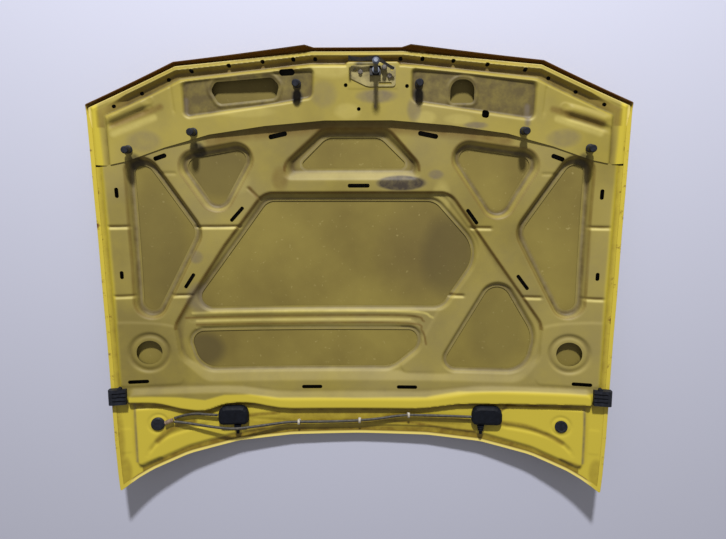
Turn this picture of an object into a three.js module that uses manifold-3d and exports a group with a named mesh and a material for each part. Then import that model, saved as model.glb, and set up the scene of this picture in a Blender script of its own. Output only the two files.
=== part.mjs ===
// Car bonnet seen from its inner side: crowned outer skin, pressed inner frame,
// front inner panel, lock striker, rubber buffers and washer nozzles.
// Millimetres, +Y towards the nose, +Z out of the inner face.

import * as THREE from 'three';
import { mergeVertices } from 'three/addons/utils/BufferGeometryUtils.js';
import Module from 'manifold-3d';

const wasm = await Module();
wasm.setup();

// Driving dimensions
const SKIN = 0.8;
const SHEET = 0.8;
const HEM_TOP = 10.5;
const HEM_WIDTH = 11;
const FLANGE = 8.6;
const RAIL = 20;
const WEB = 9;
const FOOT = 2.6;
const RIDGE = 31;
const REAR_FLOOR = 14;
const PANEL = 34;
const POCKET = 25;
const STRIP = 13;
const CHORD = 0.75;
const SIDE_DROP = 11;

// Crown of the skin over the plan position
function crown(x, y) {
  const u = x / 1000;
  const v = y / 1000 - 0.58;
  return 75 * u * u + 87.4 * u ** 4 + 90 * v * v;
}


function mix(a, b, t) {
  return a + (b - a) * t;
}

function clamp01(t) {
  return Math.min(1, Math.max(0, t));
}

// Extra height of the nose lip over the side hem
function lipRise(x, y) {
  const along = clamp01((y - 1000) / 100);
  const a = Math.abs(x);
  let rise = 6;
  if (a < 116) rise = 13;
  else if (a < 138) rise = mix(13, 32, (a - 116) / 22);
  else if (a < 481) rise = mix(32, 10, (a - 138) / 343);
  else rise = mix(10, 6, (a - 481) / 229);
  return along * rise;
}

// Flat seats pressed into the crowned sheets: centre, half sizes, height
const LOCK_SEAT = { x: 39, y: 1175, half: [67, 33], h: PANEL + 1 };
const HINGE_SEATS = [-1, 1].map((s) => ({ x: s * 680, y: 155, half: [15, 36], h: FLANGE + 1 }));

function seatPlane(seat, x, y) {
  const d = 4;
  const c = crown(seat.x, seat.y);
  const sx = (crown(seat.x + d, seat.y) - crown(seat.x - d, seat.y)) / (2 * d);
  const sy = (crown(seat.x, seat.y + d) - crown(seat.x, seat.y - d)) / (2 * d);
  return c + sx * (x - seat.x) + sy * (y - seat.y);
}

function onSeat(seat, x, y, h) {
  if (Math.abs(x - seat.x) > seat.half[0] + 0.02) return false;
  if (Math.abs(y - seat.y) > seat.half[1] + 0.02) return false;
  return h > seat.h - 0.95;
}

function seatCorners({ x, y, half: [a, b] }) {
  return [[x - a, y - b, 5], [x + a, y - b, 5], [x + a, y + b, 5], [x - a, y + b, 5]];
}

// Outlines are lists of [x, y, corner radius]; 0.0 radius keeps half of the shorter edge
const SMOOTH = 0;

function mirrored(half) {
  const other = half.map(([x, y, r]) => [-x, y, r]).reverse();
  return half.concat(other);
}

function unit(ax, ay, bx, by) {
  const l = Math.hypot(bx - ax, by - ay);
  return [(bx - ax) / l, (by - ay) / l, l];
}

function turnAt(corners, i) {
  const n = corners.length;
  const a = unit(...corners[(i + n - 1) % n].slice(0, 2), ...corners[i].slice(0, 2));
  const b = unit(...corners[i].slice(0, 2), ...corners[(i + 1) % n].slice(0, 2));
  return Math.atan2(a[0] * b[1] - a[1] * b[0], a[0] * b[0] + a[1] * b[1]);
}

function arcCounts(corners, step) {
  return corners.map((c, i) => Math.max(1, Math.round(Math.abs(turnAt(corners, i)) * 180 / Math.PI / step)));
}

// Points of an outline with rounded corners, moved inwards by inset
function rounded(corners, inset, counts) {
  const n = corners.length;
  const pts = [];
  for (let i = 0; i < n; i += 1) {
    const [px, py] = corners[(i + n - 1) % n];
    const [cx, cy, radius] = corners[i];
    const [nx, ny] = corners[(i + 1) % n];
    const a = unit(px, py, cx, cy);
    const b = unit(cx, cy, nx, ny);
    const turn = Math.atan2(a[0] * b[1] - a[1] * b[0], a[0] * b[0] + a[1] * b[1]);
    const half = Math.tan(Math.abs(turn) / 2);
    const most = 0.49 * Math.min(a[2], b[2]) / Math.max(half, 1e-6);
    const base = radius === SMOOTH ? most : Math.min(radius, most);
    const side = turn > 0 ? 1 : -1;
    const r = Math.max(base - side * inset, 0.4);
    const na = [-a[1], a[0]];
    const nb = [-b[1], b[0]];
    const k = 1 + na[0] * nb[0] + na[1] * nb[1];
    const mx = (na[0] + nb[0]) / k;
    const my = (na[1] + nb[1]) / k;
    const ox = cx + mx * (inset + side * r);
    const oy = cy + my * (inset + side * r);
    const count = counts[i];
    for (let j = 0; j <= count; j += 1) {
      const t = (j / count) * turn;
      const c = Math.cos(t);
      const s = Math.sin(t);
      const vx = na[0] * c - na[1] * s;
      const vy = na[0] * s + na[1] * c;
      pts.push([ox - side * r * vx, oy - side * r * vy]);
    }
  }
  return pts;
}

function flipped(vertProperties, triVerts) {
  for (let i = 0; i < triVerts.length; i += 3) {
    const a = triVerts[i];
    triVerts[i] = triVerts[i + 1];
    triVerts[i + 1] = a;
  }
  return new wasm.Manifold(new wasm.Mesh({ numProp: 3, vertProperties, triVerts }));
}

function toSolid(geometry) {
  geometry.deleteAttribute('normal');
  geometry.deleteAttribute('uv');
  const merged = mergeVertices(geometry, 1e-4);
  const vertProperties = new Float32Array(merged.attributes.position.array);
  const triVerts = new Uint32Array(merged.index.array);
  const solid = new wasm.Manifold(new wasm.Mesh({ numProp: 3, vertProperties, triVerts }));
  return solid.volume() < 0 ? flipped(vertProperties, triVerts) : solid;
}

function toGeometry(solid) {
  const m = solid.getMesh();
  const g = new THREE.BufferGeometry();
  g.setAttribute('position', new THREE.BufferAttribute(new Float32Array(m.vertProperties), 3));
  g.setIndex(Array.from(m.triVerts));
  return g;
}

// Solid between rings of equal point count, closed by flat caps
function ringSolid(rings) {
  const n = rings[0].length;
  const positions = [];
  rings.forEach((ring) => ring.forEach(([x, y, z]) => positions.push(x, y, z)));
  const index = [];
  for (let k = 0; k + 1 < rings.length; k += 1) {
    for (let i = 0; i < n; i += 1) {
      const a = k * n + i;
      const b = k * n + ((i + 1) % n);
      index.push(a, b, b + n, a, b + n, a + n);
    }
  }
  const cap = (k, up) => {
    const flat = rings[k].map(([x, y]) => new THREE.Vector2(x, y));
    THREE.ShapeUtils.triangulateShape(flat, []).forEach(([a, b, c]) => {
      const tri = up ? [a, b, c] : [a, c, b];
      tri.forEach((v) => index.push(k * n + v));
    });
  };
  cap(0, false);
  cap(rings.length - 1, true);
  const g = new THREE.BufferGeometry();
  g.setAttribute('position', new THREE.Float32BufferAttribute(positions, 3));
  g.setIndex(index);
  return toSolid(g);
}

// Tapered block: stations are [inset, height] or [corners, inset, height]
function taper(corners, stations, step = 30) {
  const counts = arcCounts(corners, step);
  return ringSolid(stations.map((s) => {
    const [list, inset, h] = s.length === 3 ? s : [corners, s[0], s[1]];
    return rounded(list, inset, counts).map(([x, y]) => [x, y, h]);
  }));
}

function prism(corners, low, high, step = 30) {
  return taper(corners, [[0, low], [0, high]], step);
}

function bar(x0, y0, x1, y1, width, radius) {
  const [dx, dy] = unit(x0, y0, x1, y1);
  const ox = -dy * width / 2;
  const oy = dx * width / 2;
  const r = radius ?? width / 2 - 0.05;
  return [[x0 - ox, y0 - oy, r], [x1 - ox, y1 - oy, r], [x1 + ox, y1 + oy, r], [x0 + ox, y0 + oy, r]];
}

function disc(x, y, radius) {
  const r = radius - 0.05;
  return [[x - radius, y - radius, r], [x + radius, y - radius, r], [x + radius, y + radius, r], [x - radius, y + radius, r]];
}

// Turns edges inside flat faces so that the triangles are well shaped
function flipFlat(pos, tri) {
  const key = (a, b) => a * 1000003 + b;
  for (let pass = 0; pass < 12; pass += 1) {
    const owner = new Map();
    tri.forEach((t, k) => {
      for (let e = 0; e < 3; e += 1) owner.set(key(t[e], t[(e + 1) % 3]), k);
    });
    const busy = new Uint8Array(tri.length);
    let flips = 0;
    for (let k = 0; k < tri.length; k += 1) {
      if (busy[k]) continue;
      for (let e = 0; e < 3; e += 1) {
        const t = tri[k];
        const a = t[e];
        const b = t[(e + 1) % 3];
        const c = t[(e + 2) % 3];
        const other = owner.get(key(b, a));
        if (other === undefined || busy[other] || other === k) continue;
        const o = tri[other];
        const d = o.find((v) => v !== a && v !== b);
        if (Math.abs(pos[a][2] - pos[b][2]) > 1e-4) continue;
        if (Math.abs(pos[a][2] - pos[c][2]) > 1e-4) continue;
        if (Math.abs(pos[a][2] - pos[d][2]) > 1e-4) continue;
        const area = (p, q, r) => (q[0] - p[0]) * (r[1] - p[1]) - (q[1] - p[1]) * (r[0] - p[0]);
        const now = area(pos[a], pos[b], pos[c]);
        const one = area(pos[c], pos[d], pos[b]);
        const two = area(pos[d], pos[c], pos[a]);
        if (Math.abs(now) < 1e-3 && Math.abs(area(pos[b], pos[a], pos[d])) < 1e-3) continue;
        if (Math.sign(one) !== Math.sign(two) || Math.min(Math.abs(one), Math.abs(two)) < 0.02) continue;
        if (owner.has(key(c, d)) || owner.has(key(d, c))) continue;
        const angle = (p, q, r) => {
          const ux = q[0] - p[0];
          const uy = q[1] - p[1];
          const vx = r[0] - p[0];
          const vy = r[1] - p[1];
          return Math.atan2(Math.abs(ux * vy - uy * vx), ux * vx + uy * vy);
        };
        const sum = angle(pos[c], pos[a], pos[b]) + angle(pos[d], pos[a], pos[b]);
        if (sum < Math.PI + 1e-4) continue;
        tri[k] = [c, d, b];
        tri[other] = [d, c, a];
        busy[k] = 1;
        busy[other] = 1;
        flips += 1;
        break;
      }
    }
    if (flips === 0) return;
  }
}

// Splits edges until the crown is followed, then lifts every point onto it
function onCrown(solid, lift) {
  const m = solid.getMesh();
  const pos = [];
  for (let i = 0; i < m.vertProperties.length; i += 3) {
    pos.push([m.vertProperties[i], m.vertProperties[i + 1], m.vertProperties[i + 2]]);
  }
  let tri = [];
  for (let i = 0; i < m.triVerts.length; i += 3) {
    tri.push([m.triVerts[i], m.triVerts[i + 1], m.triVerts[i + 2]]);
  }
  const up = (p) => lift(p[0], p[1], p[2]);
  for (let pass = 0; pass < 9; pass += 1) {
    flipFlat(pos, tri);
    const mids = new Map();
    const middle = (a, b) => {
      const k = a < b ? a * 1000003 + b : b * 1000003 + a;
      if (mids.has(k)) return mids.get(k);
      const p = pos[a];
      const q = pos[b];
      const c = [(p[0] + q[0]) / 2, (p[1] + q[1]) / 2, (p[2] + q[2]) / 2];
      const sag = Math.abs((crown(p[0], p[1]) + crown(q[0], q[1])) / 2 - crown(c[0], c[1]));
      const id = sag > CHORD ? pos.push(c) - 1 : -1;
      mids.set(k, id);
      return id;
    };
    const next = [];
    let splits = 0;
    tri.forEach(([a, b, c]) => {
      const ab = middle(a, b);
      const bc = middle(b, c);
      const ca = middle(c, a);
      const n = (ab >= 0) + (bc >= 0) + (ca >= 0);
      splits += n;
      if (n === 0) next.push([a, b, c]);
      else if (n === 3) next.push([a, ab, ca], [ab, b, bc], [ca, bc, c], [ab, bc, ca]);
      else if (n === 1) {
        if (ab >= 0) next.push([a, ab, c], [ab, b, c]);
        else if (bc >= 0) next.push([b, bc, a], [bc, c, a]);
        else next.push([c, ca, b], [ca, a, b]);
      } else if (ab < 0) next.push([c, ca, bc], [ca, a, b], [ca, b, bc]);
      else if (bc < 0) next.push([a, ab, ca], [ab, b, c], [ab, c, ca]);
      else next.push([b, bc, ab], [bc, c, a], [bc, a, ab]);
    });
    tri = next;
    if (splits === 0) break;
  }
  flipFlat(pos, tri);
  const g = new THREE.BufferGeometry();
  const flat = [];
  pos.forEach((p) => flat.push(p[0], p[1], up(p)));
  g.setAttribute('position', new THREE.Float32BufferAttribute(flat, 3));
  g.setIndex(tri.flat());
  return g;
}

// Outline of the outer edge, rear right corner first
const EDGE = mirrored([
  [280, 149, SMOOTH],
  [430, 125, SMOOTH],
  [560, 85, SMOOTH],
  [648, 42, SMOOTH],
  [701, 4, 4],
  [710, 110, SMOOTH],
  [717.5, 420, SMOOTH],
  [717, 760, SMOOTH],
  [713, 980, SMOOTH],
  [709, 1102, 6],
  [481, 1211, 14],
  [138, 1253, 3],
  [116, 1248, 4],
]);
// the rear arc closes over the centre plane
EDGE.push([-100, 156, SMOOTH], [100, 156, SMOOTH]);

// The same edge without the step beside the grille, for shapes that lie further in
const NOSE_EDGE = mirrored([
  [717, 760, 1],
  [713, 980, SMOOTH],
  [709, 1102, 6],
  [481, 1211, 14],
  [124, 1250, 40],
]);

const PANEL_EDGE = mirrored([
  [714, 760, 1],
  [710, 980, SMOOTH],
  [704, 1094, 6],
  [478, 1201, 14],
  [128, 1239, 40],
]);

// Rear edge line of the front inner panel, right to left
const PANEL_REAR = mirrored([
  [90, 1063, SMOOTH],
  [250, 1049, SMOOTH],
  [400, 1027, SMOOTH],
  [520, 993, SMOOTH],
  [620, 957, SMOOTH],
  [672, 945, 3],
].reverse());

function outerSkin() {
  const stations = [
    [16, -SKIN],
    [5, 1.2],
    [0, 7],
    [0.8, HEM_TOP],
    [HEM_WIDTH, HEM_TOP],
    [HEM_WIDTH, HEM_TOP - SKIN],
    [1.6, HEM_TOP - SKIN],
    [0.9, 7],
    [5.6, 2.1],
    [16, 0],
  ];
  const skin = taper(EDGE, stations, 40);
  // the nose lip stands free, with no fold on its inner side
  const free = mirrored([[696, 1085, 1], [694, 1104, 4], [479, 1206, 14], [137, 1247.5, 3], [116, 1244, 4]]);
  return skin.subtract(prism(free, 8.2, 30));
}

function skinLift(x, y, h) {
  return crown(x, y) + h + clamp01(h / 8) * lipRise(x, y);
}

// Window outlines of the inner frame
const SIDE_WINDOW = [[571, 945, 26], [456, 763, 42], [578, 534, 30], [619, 547, 26], [614, 945, 22]];
const MAIN_WINDOW = [[-429, 544, 25], [238, 544, 45], [329, 709, 85], [214, 847, 50], [-246, 848, 40]];
const LOW_WINDOW = [[-463, 362, 62], [95, 362, 62], [168, 430, 45], [166, 472, 22], [-494, 472, 32]];
const CORNER_WINDOW = [[239, 360, 26], [479, 360, 62], [501, 465, 85], [396, 640, 38]];
const TOP_WINDOW = [[-173, 937, 12], [146, 937, 12], [60, 1020, 42], [-87, 1020, 42]];
const LEFT_TRIANGLE = [[-392, 816, 26], [-287, 996, 24], [-483, 960, 24]];
const RIGHT_TRIANGLE = [[388, 796, 26], [481, 962, 24], [250, 996, 24]];

function flipX(corners) {
  return corners.map(([x, y, r]) => [-x, y, r]).reverse();
}

const BIG_TOP = [
  [-445, 322, 60],
  [470, 322, 60],
  [521, 395, 50],
  [524, 500, 50],
  [256, 873, 55],
  [-266, 873, 55],
  [-528, 505, 50],
  [-520, 395, 60],
];
const BIG_FOOT = [
  [-436, 350, 60],
  [462, 350, 60],
  [506, 405, 45],
  [510, 497, 45],
  [249, 861, 50],
  [-259, 861, 50],
  [-514, 499, 45],
  [-506, 405, 55],
];
const HIGH_TOP = [[-208, 906, 20], [173, 906, 20], [168, 952, 40], [82, 1047, 45], [-98, 1047, 45], [-206, 952, 40]];
const HIGH_FOOT = [[-188, 930, 14], [158, 930, 14], [150, 954, 30], [69, 1031, 45], [-95, 1031, 45], [-183, 954, 30]];

// Crest line behind the rear cross rail, left to right
const CREST = [
  [-666, 271, 6],
  [-580, 265, SMOOTH],
  [-520, 243, SMOOTH],
  [-450, 233, SMOOTH],
  [-395, 256, SMOOTH],
  [-320, 258, SMOOTH],
  [-235, 236, SMOOTH],
  [195, 236, SMOOTH],
  [290, 254, SMOOTH],
  [430, 256, SMOOTH],
  [666, 266, 6],
];

function railOutline(rear) {
  return rear.concat([
    [688, 284, 10],
    [692, 520, SMOOTH],
    [691, 900, SMOOTH],
    [684, 1090, 10],
    [-684, 1090, 10],
    [-691, 900, SMOOTH],
    [-692, 520, SMOOTH],
    [-688, 284, 10],
  ]);
}

// Form of the inner frame before it is hollowed: drop moves it down, grow thins the walls
function frameForm(drop, grow) {
  const h = (v) => v - drop;
  let form = taper(EDGE, [[3 - grow * 20, -40 - drop], [3 - grow * 20, h(FLANGE)]], 40);
  const rails = railOutline(CREST);
  form = form.add(taper(rails, [[grow - 6, h(FLANGE) - 4], [grow - 2.5, h(FLANGE)], [grow + 7, h(RAIL)]]));
  const ridge = CREST.concat([
    [664, 296, 20],
    [330, 291, SMOOTH],
    [215, 268, SMOOTH],
    [-245, 268, SMOOTH],
    [-340, 291, SMOOTH],
    [-664, 296, 20],
  ]);
  const ridgeTop = CREST.concat([
    [664, 280, 14],
    [330, 277, SMOOTH],
    [215, 256, SMOOTH],
    [-245, 256, SMOOTH],
    [-340, 277, SMOOTH],
    [-664, 283, 14],
  ]);
  form = form.add(taper(ridge, [[grow - 2, h(FLANGE) - 3], [ridge, grow, h(RAIL) + 0.5], [ridgeTop, grow + 4, h(RIDGE)]]));
  const floor = mirrored([
    [300, 168, SMOOTH],
    [440, 143, SMOOTH],
    [560, 105, SMOOTH],
    [655, 58, 20],
    [660, 255, 14],
  ]);
  floor.push([-110, 176, SMOOTH], [110, 176, SMOOTH]);
  form = form.add(taper(floor, [[grow, h(FLANGE) - 3], [grow + 3, h(FLANGE)], [grow + 9, h(REAR_FLOOR)]]));
  HINGE_SEATS.forEach((seat) => {
    form = form.add(taper(seatCorners(seat), [[-3 + grow, h(FLANGE) - 2], [-2 + grow, h(FLANGE)], [0, h(seat.h)]]));
  });
  const cut = (top, foot, low) => {
    form = form.subtract(taper(top, [[foot, -grow, h(low)], [top, -grow, h(RAIL)], [top, -grow, 60]]));
  };
  cut(BIG_TOP, BIG_FOOT, WEB);
  cut(HIGH_TOP, HIGH_FOOT, FOOT);
  const well = (corners, outTop, outFoot, high) => {
    form = form.subtract(taper(corners, [[-outFoot - grow, h(FOOT)], [-outTop - grow, h(high)], [-outTop - grow, 60]]));
  };
  well(SIDE_WINDOW, 24, 13, RAIL);
  well(flipX(SIDE_WINDOW), 24, 13, RAIL);
  well(LEFT_TRIANGLE, 21, 9, RAIL);
  well(RIGHT_TRIANGLE, 21, 9, RAIL);
  const shallow = (corners) => {
    form = form.subtract(taper(corners, [[-8 - grow, h(FOOT)], [-13 - grow, h(WEB)], [-13 - grow, h(RAIL) - 2]]));
  };
  shallow(MAIN_WINDOW);
  shallow(LOW_WINDOW);
  shallow(CORNER_WINDOW);
  return form;
}

const SLOTS = [
  bar(-654, 887, -654, 859, 10),
  bar(-660, 657, -660, 634, 10),
  bar(654, 880, 654, 852, 10),
  bar(660, 652, 660, 629, 10),
  bar(-321, 832, -358, 792, 10),
  bar(-466, 645, -494, 603, 10),
  bar(301, 825, 332, 783, 10),
  bar(447, 640, 479, 598, 10),
  bar(-552, 962, -518, 974, 12),
  bar(518, 970, 552, 957, 12),
  bar(-243, 1020, -193, 1031, 13),
  bar(162, 1031, 216, 1020, 13),
  bar(-30, 890, 31, 890, 11),
  bar(-169, 303, -109, 303, 11),
  bar(111, 302, 171, 302, 11),
  bar(-663, 334, -606, 333, 11),
  bar(609, 328, 664, 328, 11),
];

const GROMMETS = [[-590, 201], [588, 196]];

function innerFrame() {
  let sheet = frameForm(0, 0).subtract(frameForm(SHEET, 0.5));
  const windows = [SIDE_WINDOW, flipX(SIDE_WINDOW), MAIN_WINDOW, LOW_WINDOW, CORNER_WINDOW, TOP_WINDOW, LEFT_TRIANGLE, RIGHT_TRIANGLE];
  windows.forEach((w) => {
    sheet = sheet.subtract(prism(w, -20, 70));
  });
  SLOTS.forEach((s) => {
    sheet = sheet.subtract(prism(s, -20, 70, 90));
  });
  [[-601, 422], [599, 418]].forEach(([x, y]) => {
    sheet = sheet.subtract(prism(disc(x, y, 35), -20, 70, 24));
  });
  GROMMETS.forEach(([x, y]) => {
    sheet = sheet.subtract(prism(disc(x, y, 14), -20, 70, 30));
  });
  // front boundary runs below the front inner panel
  const keep = PANEL_REAR.map(([x, y, r]) => [x, y + (Math.abs(x) > 650 ? -6 : 13), r]);
  const cover = keep.reverse().concat([[900, 939, 1], [900, 1400, 1], [-900, 1400, 1], [-900, 939, 1]]);
  sheet = sheet.subtract(prism(cover, -60, 90));
  return sheet;
}

function frameLift(x, y, h) {
  const seat = HINGE_SEATS.find((one) => h < one.h + 0.1 && onSeat(one, x, y, h));
  return (seat ? seatPlane(seat, x, y) : crown(x, y)) + h;
}

const LEFT_POCKET = [
  [-466, 1066, 18],
  [-200, 1104, 30],
  [-118, 1118, 20],
  [-112, 1196, 15],
  [-300, 1184, 60],
  [-466, 1164, 20],
];
const RIGHT_POCKET = [
  [138, 1108, 20],
  [300, 1084, 60],
  [470, 1058, 18],
  [470, 1160, 20],
  [300, 1182, 60],
  [138, 1196, 15],
];

function panelForm(drop, grow) {
  const h = (v) => v - drop;
  let form = taper(PANEL_EDGE, [[-grow * 20, -40 - drop], [-grow * 20, h(FLANGE)]], 40);
  form = form.add(taper(NOSE_EDGE, [[grow + 10, h(FLANGE) - 4], [grow + 12.5, h(FLANGE)], [grow + 22, h(20)]], 40));
  form = form.subtract(taper(NOSE_EDGE, [[30 - grow, h(STRIP)], [24 - grow, h(20)], [24 - grow, 60]], 40));
  form = form.add(taper(NOSE_EDGE, [[grow + 41, h(STRIP) - 4], [grow + 42, h(STRIP)], [grow + 52, h(PANEL)]], 40));
  form = form.add(taper(seatCorners(LOCK_SEAT), [[-4 + grow, h(PANEL) - 2], [-2 + grow, h(PANEL)], [0, h(LOCK_SEAT.h)]]));
  [LEFT_POCKET, RIGHT_POCKET].forEach((p) => {
    form = form.subtract(taper(p, [[8 - grow, h(POCKET)], [-grow, h(PANEL)], [-grow, 70]]));
  });
  return form;
}

const STRIP_HOLES = [
  [640, 1098, -25], [567, 1131, -25], [496, 1166, -25], [435, 1188, -8],
  [337, 1202, -7], [249, 1212, -7], [169, 1218, -6], [112, 1219, 0],
];

function frontInnerPanel() {
  let sheet = panelForm(0, 0).subtract(panelForm(SHEET, 0.5));
  const behind = PANEL_REAR.concat([[-900, 945, 1], [-900, -200, 1], [900, -200, 1], [900, 945, 1]]);
  sheet = sheet.subtract(prism(behind, -90, 90));
  STRIP_HOLES.forEach(([x, y, deg]) => {
    [1, -1].forEach((side) => {
      const a = deg * side * Math.PI / 180;
      const dx = Math.cos(a) * 5;
      const dy = Math.sin(a) * 5;
      sheet = sheet.subtract(prism(bar(side * x - dx, y - dy, side * x + dx, y + dy, 6), -20, 70, 45));
    });
  });
  const windows = [
    [[-369, 1106, 14], [-218, 1121, 16], [-208, 1152, 14], [-226, 1173, 16], [-376, 1161, 14], [-389, 1140, 14]],
    [[244, 1107, 10], [307, 1107, 10], [307, 1166, 28], [244, 1166, 28]],
    bar(336, 1068, 340, 1088, 19, 7),
    bar(-206, 1184, -166, 1186, 16),
  ];
  windows.forEach((w) => {
    sheet = sheet.subtract(prism(w, -20, 90));
  });
  [[-9, 1193, 4], [129, 1149, 5], [2, 1092, 5], [-32, 1152, 5]].forEach(([x, y, r]) => {
    sheet = sheet.subtract(prism(disc(x, y, r), -20, 90, 30));
  });
  return sheet;
}

function panelLift(x, y, h) {
  const drop = SIDE_DROP * clamp01((Math.abs(x) - 230) / 300);
  if (onSeat(LOCK_SEAT, x, y, h)) return seatPlane(LOCK_SEAT, x, y) + h;
  return crown(x, y) + h - drop * clamp01((h - STRIP) / 10);
}

// Materials
const COLOURS = {
  paint_outer: 0xd9b92c,
  paint_inner: 0xb7a353,
  steel: 0x9a9a98,
  black_steel: 0x232323,
  rubber: 0x22242a,
  black_plastic: 0x1d2026,
  hose: 0x2b2b2b,
  pale_plastic: 0xd8d4cc,
};

function part(name, geometry, material) {
  const m = new THREE.MeshStandardMaterial({ color: COLOURS[material], roughness: 0.5 });
  m.name = material;
  const out = new THREE.Mesh(geometry, m);
  out.name = name;
  return out;
}

// Stands a body, modelled with its base at the origin, square on a pressed face
function stand(geometry, lift, x, y, h, gap = 0.4) {
  const sx = (lift(x + 6, y, h) - lift(x - 6, y, h)) / 12;
  const sy = (lift(x, y + 6, h) - lift(x, y - 6, h)) / 12;
  const n = new THREE.Vector3(-sx, -sy, 1).normalize();
  const q = new THREE.Quaternion().setFromUnitVectors(new THREE.Vector3(0, 0, 1), n);
  geometry.applyQuaternion(q);
  geometry.translate(x, y, lift(x, y, h) + gap);
  return geometry;
}

function lathe(profile, segments) {
  const pts = profile.map(([r, z]) => new THREE.Vector2(r, z));
  const g = new THREE.LatheGeometry(pts, segments);
  g.rotateX(Math.PI / 2);
  return g;
}

function rubberBuffer() {
  return lathe([[0, 0], [11, 0], [11, 4], [7, 6], [7, 14], [10, 16], [10, 38], [7.5, 42], [0, 42]], 16);
}

// Body from corner outline and stations in its own frame
function block(corners, stations, step = 30) {
  return toGeometry(taper(corners, stations, step));
}

function cylinderSolid(r, low, high, segments = 16) {
  return toSolid(lathe([[0, low], [r, low], [r, high], [0, high]], segments));
}

function moved(solid, x, y, z) {
  return solid.translate([x, y, z]);
}

// Round wire or hose along a curve through points
function along(points, radius, sides, steps) {
  const path = new THREE.CatmullRomCurve3(points.map((p) => new THREE.Vector3(...p)), false, 'centripetal');
  const shape = new THREE.Shape();
  for (let i = 0; i < sides; i += 1) {
    const a = (i / sides) * Math.PI * 2;
    const p = [radius * Math.cos(a), radius * Math.sin(a)];
    if (i === 0) shape.moveTo(...p);
    else shape.lineTo(...p);
  }
  shape.closePath();
  return new THREE.ExtrudeGeometry(shape, { steps, bevelEnabled: false, extrudePath: path });
}

function grommet() {
  const profile = [[0, -4], [15, -4], [15.6, -1.6], [13.4, -1.3], [13.4, 0.6], [20, 0.6], [20, 3], [16, 6], [0, 6]];
  return lathe(profile, 20);
}

function plug() {
  const profile = [[0, -4], [15, -4], [15.6, -1.6], [13.4, -1.3], [13.4, 0.6], [18, 0.6], [18, 3], [14, 4], [12, 3], [0, 3]];
  return lathe(profile, 20);
}

// Washer nozzle housing and its ribbed stub that points to the rear
const NOZZLES = [['left', -371, 222], ['right', 375, 223]];
const NOZZLE_BASE = REAR_FLOOR;

function nozzleBody() {
  return block([[-44, -28, 14], [44, -28, 14], [44, 28, 24], [-44, 28, 24]], [[2, 0], [0, 3], [0, 15], [3, 20], [9, 23]]);
}

function nozzleStub() {
  const profile = [[0, 0], [10.5, 0], [10.5, 3], [8, 4], [9.6, 7], [9.6, 9], [7, 10], [8.4, 13], [8.4, 15], [5, 17], [5, 26], [0, 26]];
  const g = lathe(profile, 14);
  g.rotateX(Math.PI / 2);
  return g;
}

// Ribbed rubber block that sits over the side edge
function sideBuffer(side) {
  const shape = new THREE.Shape();
  shape.moveTo(667, 20.9);
  shape.lineTo(684.5, 20.9);
  shape.lineTo(696, 11.4);
  shape.lineTo(716, 11.4);
  shape.lineTo(716, 22);
  shape.quadraticCurveTo(715, 31, 706, 32);
  shape.lineTo(667, 33);
  shape.closePath();
  const g = new THREE.ExtrudeGeometry(shape, { depth: 44, steps: 1, bevelEnabled: false, curveSegments: 4 });
  g.rotateX(Math.PI / 2);
  g.translate(0, 316, 0);
  let solid = toSolid(g);
  [281, 292, 303].forEach((y) => {
    solid = solid.subtract(prism([[660, y, 0.2], [703, y, 0.2], [703, y + 4, 0.2], [660, y + 4, 0.2]], 29, 60));
  });
  solid = solid.add(prism(bar(680, 316, 688, 321, 9, 3), 22, 31));
  const out = onCrown(solid, (x, y, h) => crown(x, y) + h);
  if (side < 0) {
    out.scale(-1, 1, 1);
    const index = out.index.array;
    for (let i = 0; i < index.length; i += 3) {
      const a = index[i];
      index[i] = index[i + 1];
      index[i + 1] = a;
    }
  }
  return out;
}

// Lock seat frame: x across, y towards the nose, z square to the seat
function onLock(geometry, gap = 0) {
  const { x, y, h } = LOCK_SEAT;
  const sx = (seatPlane(LOCK_SEAT, x + 1, y) - seatPlane(LOCK_SEAT, x - 1, y)) / 2;
  const sy = (seatPlane(LOCK_SEAT, x, y + 1) - seatPlane(LOCK_SEAT, x, y - 1)) / 2;
  const n = new THREE.Vector3(-sx, -sy, 1).normalize();
  geometry.applyQuaternion(new THREE.Quaternion().setFromUnitVectors(new THREE.Vector3(0, 0, 1), n));
  geometry.translate(x + n.x * gap, y + n.y * gap, crown(x, y) + h + n.z * gap);
  return geometry;
}

const PLATE = 2;
const PIN_LEAN = 17 * Math.PI / 180;

function strikerPlate() {
  const outline = [[-59, -6, 6], [-14, -27, 24], [60, -27, 8], [60, 26, 8], [-59, 26, 8]];
  let solid = prism(outline, 0.4, 0.4 + PLATE);
  solid = solid.subtract(prism(bar(15, -19, 50, -19, 6, 2.6), -2, 6));
  solid = solid.subtract(prism(disc(-46, 14, 4.6), -2, 6, 30));
  solid = solid.subtract(prism(disc(50, 16, 4.6), -2, 6, 30));
  return toGeometry(solid);
}

function strikerBracket() {
  const wedge = new THREE.Shape();
  wedge.moveTo(0, 2.9);
  wedge.lineTo(24, 2.9);
  wedge.lineTo(24, 6);
  wedge.lineTo(2, 12.6);
  wedge.lineTo(0, 12.6);
  wedge.closePath();
  const g = new THREE.ExtrudeGeometry(wedge, { depth: 29, bevelEnabled: false });
  g.applyMatrix4(new THREE.Matrix4().set(0, 0, 1, -8, 1, 0, 0, 0, 0, 1, 0, 0, 0, 0, 0, 1));
  return toGeometry(toSolid(g));
}

function strikerPin() {
  const profile = [[0, 0.4], [9.5, 0.4], [9.5, 6], [6, 6.6], [6, 58], [9, 61], [9, 66], [5, 70], [0, 70]];
  const g = lathe(profile, 18);
  g.rotateX(-PIN_LEAN);
  g.translate(8, 12, 10.3);
  return g;
}

function bolt() {
  return lathe([[0, 0.3], [7, 0.3], [7, 1.6], [5.5, 1.7], [5.5, 6], [0, 6.4]], 6);
}

const CATCH_PIVOT = [30, 20];
const CATCH_LOW = 17;

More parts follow.
